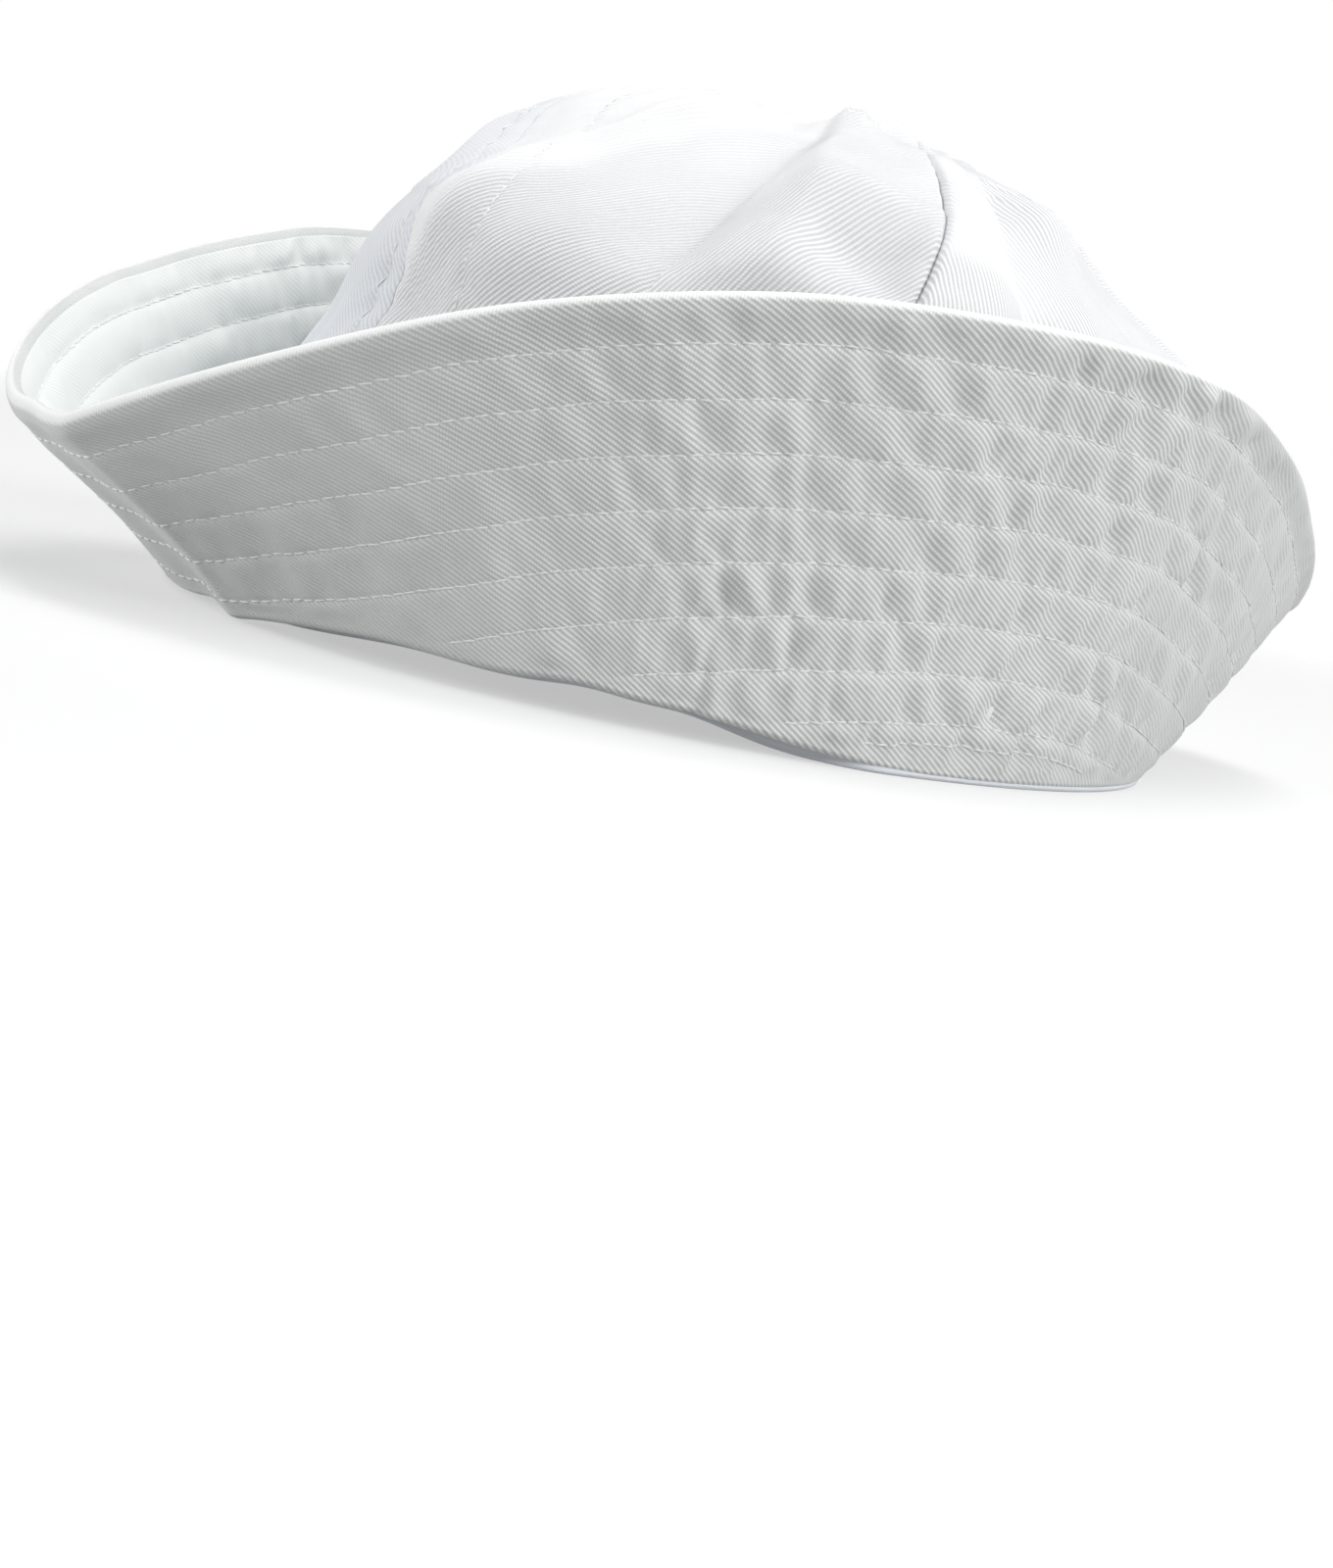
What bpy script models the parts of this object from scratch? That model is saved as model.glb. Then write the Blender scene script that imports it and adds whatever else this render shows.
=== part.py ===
"""White sailor cap with a turned-up, row-stitched cuff.

Metres, +Z up.  The cap rests on the plane z = 0 with its head opening down,
its front towards -Y and the wearer's left towards +X.  The origin is the
bottom centre of the whole cap's box.

Pieces: six crown gores, the cuff (a double-layer brim turned up all round)
and the sweatband with its hem.
"""
import math

import bmesh
import bpy
import numpy as np

MM = 0.001

# ---------------------------------------------------------------- sizes, mm
CUFF_WALL = 2.4            # two layers of twill, quilted
CUFF_FOOT_HEIGHT = 1.5     # underside of the cuff's fold above the resting plane
CUFF_FOOT_THICK = 1.5
CUFF_FOOT_REACH = 4.7      # how far the fold turns in under the crown
CROWN_WALL = 1.2
CROWN_INSET = 3.0          # crown's outer face inside the cuff's fold line
CROWN_BOTTOM = 3.5         # crown's lower edge above the resting plane
CROWN_HEIGHT = 103.0
CROWN_SET_BACK = 24.0      # the crown's top lies this far behind the opening's centre
CROWN_BASE_Y = -6.6        # centre of the head opening
CROWN_BASE_Z = 1.5         # the crown's sections start at the cuff's fold
TIP_LEVEL = 0.9975         # the gores stop just short of the top, where the seams meet
SEAM_GAP = 0.5             # between neighbouring gores
BAND_WALL = 1.4
BAND_CLEAR = 0.9           # between the crown's inner face and the sweatband
BAND_HEIGHT = 30.0
HEM_THICK = 1.2
HEM_OUTER_INSET = 0.8      # the hem shows just under the cuff's fold
HEM_INNER_INSET = 8.4

# ---------------------------------------------------------------- mesh grain
RING_SEGMENTS = 72
CUFF_ROWS = 7
GORE_SEGMENTS = 9
GORE_ROWS = 13

# ---------------------------------------------------------------- cuff table
# Sections round the cuff, front first, wearer's left second, millimetres.
# side = +X, back = +Y; bow is how far the wall bends out between rim and fold.
CUFF_STATIONS = (
    # turn, rim_side, rim_back, rim_height, fold_side, fold_back, bow
    (0,      0.0, -136.5, 25.5,   0.0, -101.5,  0.0),
    (30,    47.0, -118.5, 41.5,  47.0,  -89.5, -1.0),
    (60,    83.0,  -67.5, 64.5,  76.0,  -57.5, -2.0),
    (90,    93.5,   -0.5, 71.5,  85.0,  -15.5, -2.0),
    (120,   74.0,   59.5, 63.5,  76.0,   31.5, -1.5),
    (150,   41.0,  111.5, 45.5,  47.0,   71.5,  0.0),
    (180,    1.0,  136.5, 36.5,   0.0,   88.5,  1.0),
    (210,  -39.0,  111.5, 51.5, -47.0,   71.5,  0.0),
    (240,  -75.0,   59.5, 70.5, -76.0,   31.5, -1.5),
    (270,  -93.6,   -0.5, 75.5, -85.0,  -15.5, -2.0),
    (300,  -84.0,  -67.5, 65.5, -76.0,  -57.5, -2.0),
    (330,  -47.0, -118.5, 40.5, -47.0,  -89.5, -1.0),
)
STATION = {"rim_side": 1, "rim_back": 2, "rim_height": 3,
           "fold_side": 4, "fold_back": 5, "bow": 6}

# ---------------------------------------------------------------- crown table
# Level sections of the crown.  Each reach is a share of the crown's base
# reach in that direction, measured from the section's own centre.
CROWN_SECTIONS = (
    # level, height, front, front_left, left, back_left, back, back_right, right, front_right
    (0.00,   0.0, 1.00, 1.00, 1.00, 1.00, 1.00, 1.00, 1.00, 1.00),
    (0.18,  25.0, 1.00, 1.00, 0.98, 1.00, 1.00, 1.00, 0.98, 0.96),
    (0.36,  50.0, 0.96, 0.99, 0.97, 0.98, 0.96, 0.98, 0.95, 0.90),
    (0.52,  70.0, 0.93, 0.98, 0.94, 0.86, 0.86, 0.90, 0.89, 0.81),
    (0.66,  84.0, 0.81, 0.81, 0.77, 0.61, 0.64, 0.78, 0.84, 0.80),
    (0.78,  93.5, 0.72, 0.62, 0.57, 0.41, 0.44, 0.59, 0.73, 0.72),
    (0.88,  99.0, 0.58, 0.43, 0.34, 0.21, 0.24, 0.38, 0.56, 0.60),
    (0.95, 102.0, 0.34, 0.25, 0.21, 0.12, 0.13, 0.20, 0.35, 0.44),
    (1.00, 103.0, 0.00, 0.00, 0.00, 0.00, 0.00, 0.00, 0.00, 0.00),
)

# Gores between seams, by the direction of their seams (degrees from the front
# towards the wearer's left).
GORES = (
    # name, first_seam, second_seam
    ("crown_gore_front_left", 8.0, 65.0),
    ("crown_gore_left", 65.0, 126.0),
    ("crown_gore_back_left", 126.0, 187.0),
    ("crown_gore_back_right", 187.0, 247.0),
    ("crown_gore_right", 247.0, 308.0),
    ("crown_gore_front_right", 308.0, 368.0),
)

# Soft folds of the crown: each runs between two points of the crown and
# swells (+) or dents (-) the cloth.
CROWN_FOLDS = (
    # name, from_turn, from_level, to_turn, to_level, half_width, swell
    ("ridge_front_left", 21.0, 0.50, 24.0, 0.86,  9.0,  1.6),
    ("valley_front_left", 46.0, 0.42, 42.0, 0.88, 10.0, -3.0),
    ("peak_beside_seam",  52.0, 0.74, 44.0, 0.93,  8.0,  3.6),
    ("hollow_left_seam",  66.0, 0.50, 64.0, 0.84,  9.0, -2.6),
    ("ridge_left",        78.0, 0.52, 78.0, 0.86,  9.0,  2.2),
    ("dent_left",         92.0, 0.80, 100.0, 0.90, 9.0, -2.0),
    ("ridge_back_left",  128.0, 0.48, 124.0, 0.80, 10.0, 2.0),
    ("valley_back",      165.0, 0.50, 172.0, 0.88, 11.0, -2.6),
    ("ridge_back_right", 206.0, 0.44, 200.0, 0.84, 11.0, 2.0),
    ("valley_right",     262.0, 0.50, 256.0, 0.88, 11.0, -2.4),
    ("ridge_right",      290.0, 0.46, 284.0, 0.86, 11.0, 2.0),
    ("valley_front_right", 330.0, 0.50, 322.0, 0.88, 11.0, -2.2),
)


# ---------------------------------------------------------------- smooth tables
def ring_value(samples, turn):
    """Smooth closed curve through equally spaced samples; turn in radians."""
    n = len(samples)
    c = np.fft.rfft(np.asarray(samples, dtype=float)) / n
    value = c[0].real
    for k in range(1, n // 2):
        value += 2.0 * (c[k].real * math.cos(k * turn) - c[k].imag * math.sin(k * turn))
    return value + c[n // 2].real * math.cos(n // 2 * turn)


def station(column, turn):
    i = STATION[column]
    return ring_value([row[i] for row in CUFF_STATIONS], turn)


def natural_spline(xs, ys, x):
    """Natural cubic spline through (xs, ys)."""
    n = len(xs)
    h = [xs[i + 1] - xs[i] for i in range(n - 1)]
    a = np.zeros((n, n))
    b = np.zeros(n)
    a[0, 0] = a[-1, -1] = 1.0
    for i in range(1, n - 1):
        a[i, i - 1], a[i, i], a[i, i + 1] = h[i - 1], 2 * (h[i - 1] + h[i]), h[i]
        b[i] = 6 * ((ys[i + 1] - ys[i]) / h[i] - (ys[i] - ys[i - 1]) / h[i - 1])
    m = np.linalg.solve(a, b)
    i = min(max(int(np.searchsorted(xs, x)) - 1, 0), n - 2)
    t, s = xs[i + 1] - x, x - xs[i]
    return (m[i] * t ** 3 + m[i + 1] * s ** 3) / (6 * h[i]) + \
        (ys[i] / h[i] - m[i] * h[i] / 6) * t + (ys[i + 1] / h[i] - m[i + 1] * h[i] / 6) * s


# ---------------------------------------------------------------- cuff surface
def cuff_point(turn, t):
    """Outer face of the cuff: t = 0 on the rim, 1 on the fold."""
    rim = np.array([station("rim_side", turn), station("rim_back", turn),
                    station("rim_height", turn)])
    fold = np.array([station("fold_side", turn), station("fold_back", turn),
                     CUFF_FOOT_HEIGHT])
    run = fold - rim
    out = np.array([math.sin(turn), -math.cos(turn), 0.0])
    out = out - run * (out @ run) / (run @ run)
    out /= np.linalg.norm(out)
    return rim + run * t + out * station("bow", turn) * 4 * t * (1 - t)


def fold_curve(turn):
    return np.array([station("fold_side", turn), station("fold_back", turn)])


def fold_inward(turn):
    """Unit direction in the plane, from the fold line towards the opening."""
    d = fold_curve(turn + 1e-3) - fold_curve(turn - 1e-3)
    n = np.array([-d[1], d[0]]) / np.linalg.norm(d)
    to_centre = np.array([0.0, CROWN_BASE_Y]) - fold_curve(turn)
    return n if n @ to_centre > 0 else -n


FOLD_SAMPLES = []
for step in range(720):
    p = fold_curve(math.radians(step / 2))
    FOLD_SAMPLES.append((math.atan2(p[0], -(p[1] - CROWN_BASE_Y)),
                         math.hypot(p[0], p[1] - CROWN_BASE_Y)))
FOLD_SAMPLES.sort()


def fold_reach(turn):
    """Distance from the opening's centre to the fold line, by direction."""
    angles = [s[0] for s in FOLD_SAMPLES]
    reach = [s[1] for s in FOLD_SAMPLES]
    turn = (turn + math.pi) % (2 * math.pi) - math.pi
    return float(np.interp(turn, angles, reach, period=2 * math.pi))


# ---------------------------------------------------------------- crown surface
LEVELS = [row[0] for row in CROWN_SECTIONS]
HEIGHTS = [row[1] for row in CROWN_SECTIONS]


def section_centre(z):
    """Fore-and-aft centre of the crown's level section at height z."""
    share = max((z - CROWN_BASE_Z) / CROWN_HEIGHT, 0.0)
    return CROWN_BASE_Y + CROWN_SET_BACK * share ** 1.5


def crown_plain(turn, level):
    """Crown before its folds; turn in radians, level 0 at the base, 1 at the top."""
    shares = [ring_value(row[2:], turn) for row in CROWN_SECTIONS]
    share = max(natural_spline(LEVELS, shares, level), 0.0)
    height = natural_spline(LEVELS, HEIGHTS, level)
    reach = share * (fold_reach(turn) - CROWN_INSET)
    z = CROWN_BASE_Z + height
    return np.array([math.sin(turn) * reach,
                     section_centre(z) - math.cos(turn) * reach, z])


def crown_swell(turn, level, here):
    """Sum of the soft folds at one point of the crown."""
    total = 0.0
    for name, turn_a, level_a, turn_b, level_b, half_width, swell in CROWN_FOLDS:
        ta, tb = math.radians(turn_a), math.radians(turn_b)
        share = (level - level_a) / (level_b - level_a)
        inside = min(max(share, 0.0), 1.0)
        line = ta + (tb - ta) * inside
        off = (turn - line + math.pi) % (2 * math.pi) - math.pi
        reach = math.hypot(here[0], here[1] - section_centre(here[2]))
        across = off * reach
        along = (share - inside) * abs(level_b - level_a) * 150.0
        total += swell * math.exp(-(across ** 2 + along ** 2) / (2 * half_width ** 2))
    return total


def crown_point(turn, level):
    here = crown_plain(turn, level)
    e = 0.004
    du = crown_plain(turn, min(level + e, 1.0)) - crown_plain(turn, max(level - e, 0.0))
    dt = crown_plain(turn + 0.01, level) - crown_plain(turn - 0.01, level)
    n = np.cross(dt, du)
    n /= max(np.linalg.norm(n), 1e-9)
    fade = min(1.0, max(0.0, (level - 0.22) / 0.2))
    return here + n * crown_swell(turn, level, here) * fade


def level_at_height(height):
    lo, hi = -0.02, 0.5
    for _ in range(40):
        mid = (lo + hi) / 2
        if CROWN_BASE_Z + natural_spline(LEVELS, HEIGHTS, mid) < height:
            lo = mid
        else:
            hi = mid
    return lo


# ---------------------------------------------------------------- making objects
for old in list(bpy.data.objects):
    bpy.data.objects.remove(old, do_unlink=True)

cap = bpy.data.collections.new("sailor_cap")
bpy.context.scene.collection.children.link(cap)


def cloth(name, colour, roughness):
    mat = bpy.data.materials.new(name)
    mat.use_nodes = True
    shader = mat.node_tree.nodes["Principled BSDF"]
    shader.inputs["Base Color"].default_value = (*colour, 1.0)
    shader.inputs["Roughness"].default_value = roughness
    shader.inputs["Metallic"].default_value = 0.0
    return mat


def new_object(name, bm, mat):
    bmesh.ops.recalc_face_normals(bm, faces=bm.faces)
    mesh = bpy.data.meshes.new(name)
    bm.to_mesh(mesh)
    bm.free()
    obj = bpy.data.objects.new(name, mesh)
    cap.objects.link(obj)
    mesh.materials.append(mat)
    mesh.shade_smooth()
    mesh.set_sharp_from_angle(angle=math.radians(40))
    return obj


def ring_loft(name, section_at, mat):
    """Closed ring through RING_SEGMENTS closed sections of equal point count."""
    bm = bmesh.new()
    rings = []
    for s in range(RING_SEGMENTS):
        turn = 2 * math.pi * s / RING_SEGMENTS
        rings.append([bm.verts.new(p * MM) for p in section_at(turn)])
    count = len(rings[0])
    for s in range(RING_SEGMENTS):
        a, b = rings[s], rings[(s + 1) % RING_SEGMENTS]
        for k in range(count):
            q = (k + 1) % count
            bm.faces.new((a[k], a[q], b[q], b[k]))
    return new_object(name, bm, mat)


def cuff_inner(turn, t):
    """Inner face of the cuff, one wall thickness inside the outer face."""
    here = cuff_point(turn, t)
    along = cuff_point(turn, t + 0.01) - cuff_point(turn, t - 0.01)
    around = cuff_point(turn + 0.01, t) - cuff_point(turn - 0.01, t)
    n = np.cross(along, around)
    n /= np.linalg.norm(n)
    if n @ (np.array([0.0, CROWN_BASE_Y, here[2]]) - here) < 0:
        n = -n
    return here + n * CUFF_WALL


def cuff_section(turn):
    """Outer face from rim to fold, flat foot turned in, inner face back up."""
    outer = [cuff_point(turn, k / CUFF_ROWS) for k in range(CUFF_ROWS + 1)]
    foot_in = fold_curve(turn) + fold_inward(turn) * CUFF_FOOT_REACH
    foot_top = CUFF_FOOT_HEIGHT + CUFF_FOOT_THICK
    toe = np.array([foot_in[0], foot_in[1], CUFF_FOOT_HEIGHT])
    heel = np.array([foot_in[0], foot_in[1], foot_top])
    low, high = 0.8, 1.1
    for _ in range(40):
        mid = (low + high) / 2
        if cuff_inner(turn, mid)[2] > foot_top:
            low = mid
        else:
            high = mid
    inner = [cuff_inner(turn, low)]
    inner += [cuff_inner(turn, k / CUFF_ROWS) for k in range(CUFF_ROWS - 1, -1, -1)]
    up = outer[0] - outer[1]
    crest = (outer[0] + inner[-1]) / 2 + up / np.linalg.norm(up) * 0.8
    return outer + [toe, heel] + inner + [crest]


def crown_inside(turn, height, clear):
    """Point inside the crown's wall at a height, clear of its inner face."""
    here = crown_plain(turn, level_at_height(height))
    centre = section_centre(here[2])
    spoke = np.array([here[0], here[1] - centre])
    reach = np.linalg.norm(spoke)
    spoke *= (reach - CROWN_WALL - clear) / reach
    return np.array([spoke[0], centre + spoke[1], height])


def band_section(turn):
    """Flat hem under the fold and the upright band inside the crown."""
    heights = (HEM_THICK, 0.34 * BAND_HEIGHT, 0.67 * BAND_HEIGHT, BAND_HEIGHT)
    outer = [crown_inside(turn, h, BAND_CLEAR) for h in heights]
    inner = [crown_inside(turn, h, BAND_CLEAR + BAND_WALL) for h in heights]
    spoke = np.array([math.sin(turn), -math.cos(turn)])
    centre = np.array([0.0, CROWN_BASE_Y])

    def hem(inset, height):
        p = centre + spoke * (fold_reach(turn) - inset)
        return np.array([p[0], p[1], height])

    return [hem(HEM_OUTER_INSET, 0.0), hem(HEM_OUTER_INSET, HEM_THICK)] + outer + \
        inner[::-1] + [hem(HEM_INNER_INSET, HEM_THICK), hem(HEM_INNER_INSET, 0.0)]


def gore(name, first, second, mat):
    """One crown gore: an open sheet between two seams, thickened inwards."""
    bm = bmesh.new()
    low = level_at_height(CROWN_BOTTOM)
    grid = []
    for r in range(GORE_ROWS + 1):
        s = r / GORE_ROWS
        level = low + (TIP_LEVEL - low) * (s ** 0.92)
        a, b = math.radians(first), math.radians(second)
        mid = crown_plain((a + b) / 2, level)
        reach = max(math.hypot(mid[0], mid[1] - section_centre(mid[2])), 1.0)
        trim = SEAM_GAP / 2 / reach
        row = []
        for k in range(GORE_SEGMENTS + 1):
            turn = (a + trim) + (b - a - 2 * trim) * k / GORE_SEGMENTS
            row.append(bm.verts.new(crown_point(turn, level) * MM))
        grid.append(row)
    for r in range(GORE_ROWS):
        for k in range(GORE_SEGMENTS):
            bm.faces.new((grid[r][k], grid[r][k + 1], grid[r + 1][k + 1], grid[r + 1][k]))
    mesh = bpy.data.meshes.new(name)
    bm.to_mesh(mesh)
    bm.free()
    obj = bpy.data.objects.new(name, mesh)
    cap.objects.link(obj)
    mesh.materials.append(mat)
    mesh.shade_smooth()
    wall = obj.modifiers.new("wall", "SOLIDIFY")
    wall.thickness = CROWN_WALL * MM
    wall.offset = -1.0
    wall.use_even_offset = False
    return obj


twill = cloth("white_twill", (0.86, 0.87, 0.87), 0.85)
cuff_twill = cloth("white_twill_cuff", (0.84, 0.86, 0.85), 0.85)
band_cloth = cloth("white_band", (0.85, 0.86, 0.86), 0.8)

ring_loft("cuff", cuff_section, cuff_twill)
ring_loft("sweatband", band_section, band_cloth)
for gore_name, seam_a, seam_b in GORES:
    gore(gore_name, seam_a, seam_b, twill)
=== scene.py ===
"""White sailor cap: six crown gores, a turned-up cuff stitched in rows, a sweatband.

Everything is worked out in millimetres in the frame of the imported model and
turned into metres when a mesh is made.  -Y is the front, +X the wearer's left.
"""
import math

import bpy
import numpy as np
from mathutils import Matrix, Vector


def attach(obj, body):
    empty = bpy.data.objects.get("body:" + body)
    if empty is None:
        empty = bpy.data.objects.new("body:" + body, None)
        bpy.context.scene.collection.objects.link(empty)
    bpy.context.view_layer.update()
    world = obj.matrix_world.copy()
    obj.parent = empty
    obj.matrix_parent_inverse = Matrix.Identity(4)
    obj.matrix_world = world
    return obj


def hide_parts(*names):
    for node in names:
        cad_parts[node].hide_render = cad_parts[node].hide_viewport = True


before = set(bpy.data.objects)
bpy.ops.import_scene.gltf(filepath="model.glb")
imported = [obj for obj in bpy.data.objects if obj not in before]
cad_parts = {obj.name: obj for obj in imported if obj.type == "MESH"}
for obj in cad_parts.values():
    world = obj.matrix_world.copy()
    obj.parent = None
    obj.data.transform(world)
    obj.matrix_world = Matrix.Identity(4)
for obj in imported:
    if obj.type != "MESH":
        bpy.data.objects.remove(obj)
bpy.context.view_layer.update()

MM = 0.001
TAU = 2.0 * math.pi

# ------------------------------------------------------------------ cuff sizes
CUFF_STATIONS = (
    # turn, rim_side, rim_back, rim_height, fold_side, fold_back, bow
    (0,      0.0, -136.5, 25.5,   0.0, -101.5, -2.0),
    (30,    47.0, -118.5, 41.5,  47.0,  -89.5, -3.0),
    (60,    83.0,  -67.5, 64.5,  76.0,  -57.5, -3.0),
    (90,    93.0,   -0.5, 71.5,  85.0,  -15.5, -2.0),
    (120,   74.0,   59.5, 63.5,  76.0,   31.5,  0.0),
    (150,   41.0,  111.5, 45.5,  47.0,   71.5,  1.5),
    (180,    1.0,  136.5, 36.5,   0.0,   88.5,  1.0),
    (210,  -39.0,  111.5, 51.5, -47.0,   71.5,  0.0),
    (240,  -75.0,   59.5, 70.5, -76.0,   31.5, -2.0),
    (270,  -94.0,   -0.5, 75.5, -85.0,  -15.5, -3.0),
    (300,  -84.0,  -67.5, 65.5, -76.0,  -57.5, -3.0),
    (330,  -47.0, -118.5, 43.0, -47.0,  -89.5, -2.0),
)
FOLD_HEIGHT = 1.5
FOLD_LIFT = (
    # turn, how far the fold stands above its lowest height
    (-30, 0.0), (-12, 0.1), (0, 0.4), (12, 1.2), (20, 2.4), (30, 3.6), (38, 3.4), (44, 3.7), (50, 4.4),
    (56, 3.9), (62, 3.6), (68, 2.8), (74, 1.7), (82, 0.6), (92, 0.0), (104, 0.0), (180, 0.2),
    (205, 0.6), (222, 0.8), (240, 0.5), (262, 0.0), (290, 0.0),
)
RIM_TRIM = (
    # turn, small rise or dip of the rim
    (20, 0.0), (60, 0.0), (94, 0.0), (102, 0.6), (110, 1.3), (118, 0.7), (127, 0.2), (140, 0.0), (180, 0.0), (225, 0.0),
    (272, 0.0), (284, 0.5), (292, 1.0), (297, 0.9), (301, 0.2), (306, -0.5), (311, -1.1), (316, -1.3), (322, -0.1),
    (326, 0.7), (329, 1.3), (335, 1.9), (342, 1.6), (350, 1.0), (360, 0.3), (370, 0.0), (380, 0.0),
)
FRONT_SWELL = (
    # turn, how far the front's face swells out below the rim
    (-60, 0.0), (-40, 0.3), (-26, 1.2), (-14, 1.9), (-4, 2.1), (6, 1.8), (18, 1.0), (32, 0.3), (46, 0.0),
)
CENTRE_Y = -6.6
RIM_RADIUS = 1.20          # rounding of the folded edge
RIM_LEAD = RIM_RADIUS * (math.pi / 2 - 1)     # cloth used up by going over the edge
WALL_AT_RIM = 2.8
WALL = 2.1
FIRST_ROW = 7.4            # slope distance from the rim to the first stitch row
ROW_PITCH = 8.14
ROW_COUNT = 8
LAST_ROW = 7.4 + 7.42 * 8.14
ROWS = [FIRST_ROW + ROW_PITCH * k for k in range(ROW_COUNT)] + [LAST_ROW]
PILLOW = 0.40              # how far the cloth stands up between rows
PILLOW_UNEVEN = 0.55       # how much that varies along a row
PILLOW_INSIDE = 0.34
GROOVE = 0.20              # how deep the thread pulls it in
PUCKER_DEPTH = 0.93
PUCKER_PITCH = 12.0
CHANNEL_WAVE = 0.42
CRISP_GATHERS = 0.16       # small wrinkles beside the stitch rows

# Puckers that gather the cloth above a stitch row, by the turn they stand at.
PUCKERS = (
    # row, turns (degrees from the front towards the wearer's left)
    (1, (48.8, 53.0, 57.7, 64.0, 70.0, 87.2, 93.5, 99.8, 106.0, 113.2, 118.0, 123.0)),
    (2, (46.0, 54.0, 62.0, 78.8, 84.0, 89.8, 95.0, 101.0, 106.2, 112.5, 118.5, 124.0)),
    (3, (48.0, 60.5, 65.0, 76.2, 82.8, 89.2, 96.2, 101.8, 106.2, 110.2, 115.5, 124.0)),
    (4, (44.8, 50.5, 55.8, 61.5, 69.0, 75.2, 84.2, 87.8, 94.2, 100.2, 105.0, 110.2, 117.3, 123.2)),
    (5, (44.5, 51.0, 57.7, 62.8, 68.5, 74.0, 81.5, 87.0, 95.5, 102.2, 109.5, 117.0, 124.8)),
    (6, (53.0, 60.5, 65.2, 72.5, 79.4, 86.8, 94.8, 102.8, 109.8, 118.7, 126.5)),
    (7, (63.8, 71.2, 79.2, 86.5, 96.0, 103.8, 109.2, 116.0, 123.8)),
    (8, (78.0, 86.2, 97.2, 104.2, 111.5, 118.0, 125.0)),
)
LISTED_FROM, LISTED_TO = 42.0, 127.0

# ------------------------------------------------------------------ crown sizes
CROWN_SECTIONS = (
    # level, height, front, front_left, left, back_left, back, back_right, right, front_right
    (0.00,   0.0, 1.00, 1.00, 1.00, 1.00, 1.00, 1.00, 1.00, 1.00),
    (0.18,  25.0, 1.00, 1.02, 1.01, 1.01, 0.99, 1.01, 1.01, 0.97),
    (0.36,  50.0, 0.95, 1.00, 1.00, 1.00, 0.95, 0.99, 0.96, 0.89),
    (0.52,  70.0, 0.94, 0.99, 0.96, 0.86, 0.85, 0.90, 0.89, 0.79),
    (0.66,  84.0, 0.80, 0.80, 0.75, 0.58, 0.63, 0.78, 0.85, 0.81),
    (0.78,  93.5, 0.72, 0.61, 0.56, 0.41, 0.44, 0.59, 0.74, 0.73),
    (0.88,  99.0, 0.59, 0.42, 0.33, 0.20, 0.23, 0.38, 0.56, 0.61),
    (0.95, 102.0, 0.33, 0.24, 0.21, 0.11, 0.12, 0.19, 0.35, 0.45),
    (1.00, 103.0, 0.00, 0.00, 0.00, 0.00, 0.00, 0.00, 0.00, 0.00),
)
CROWN_HEIGHT = 103.0
CROWN_RIB_ANGLE = 51.0
CROWN_SET_BACK = 24.0
CROWN_INSET = 3.6
CROWN_FOOT = 0.016

SEAMS = (
    # name, turn at levels 0.0, 0.3, 0.45, 0.55, 0.65, 0.75, 0.85, 1.0, groove depth, groove half width
    ("front",       7.5,   7.5,   8.5,   6.8,   1.0,  -4.5,  -8.0,  -9.0, 0.40, 0.9),
    ("left_front", 64.5,  64.5,  64.5,  65.0,  65.5,  64.3,  63.2,  61.0, 1.55, 0.55),
    ("left_back", 126.0, 126.0, 126.0, 126.0, 126.0, 126.0, 126.0, 126.0, 0.70, 1.0),
    ("back",      187.0, 187.0, 187.0, 187.0, 187.0, 187.0, 187.0, 187.0, 0.70, 1.0),
    ("right_back", 247.0, 247.0, 247.0, 247.0, 247.0, 247.0, 247.0, 247.0, 0.70, 1.0),
    ("right_front", 308.0, 308.0, 308.0, 308.0, 308.0, 308.0, 308.0, 308.0, 0.70, 1.0),
)
SEAM_LEVELS = (0.0, 0.3, 0.45, 0.55, 0.65, 0.75, 0.85, 1.0)

GORES = (
    # piece, CAD node, first seam, second seam, direction of the ribs on the gore, which cloth it wears: how crisp its
    # ribs are and, for all but the back gores, its painted light or shade
    ("gore_front_left", "crown_gore_front_left", 0, 1, 51.0, "crisp"),
    ("gore_left", "crown_gore_left", 1, 2, 100.0, "left"),
    ("gore_back_left", "crown_gore_back_left", 2, 3, 150.0, "soft"),
    ("gore_back_right", "crown_gore_back_right", 3, 4, 51.0, "soft"),
    ("gore_right", "crown_gore_right", 4, 5, 100.0, "side"),
    ("gore_front_right", "crown_gore_front_right", 5, 6, 150.0, "side"),
)

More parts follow.
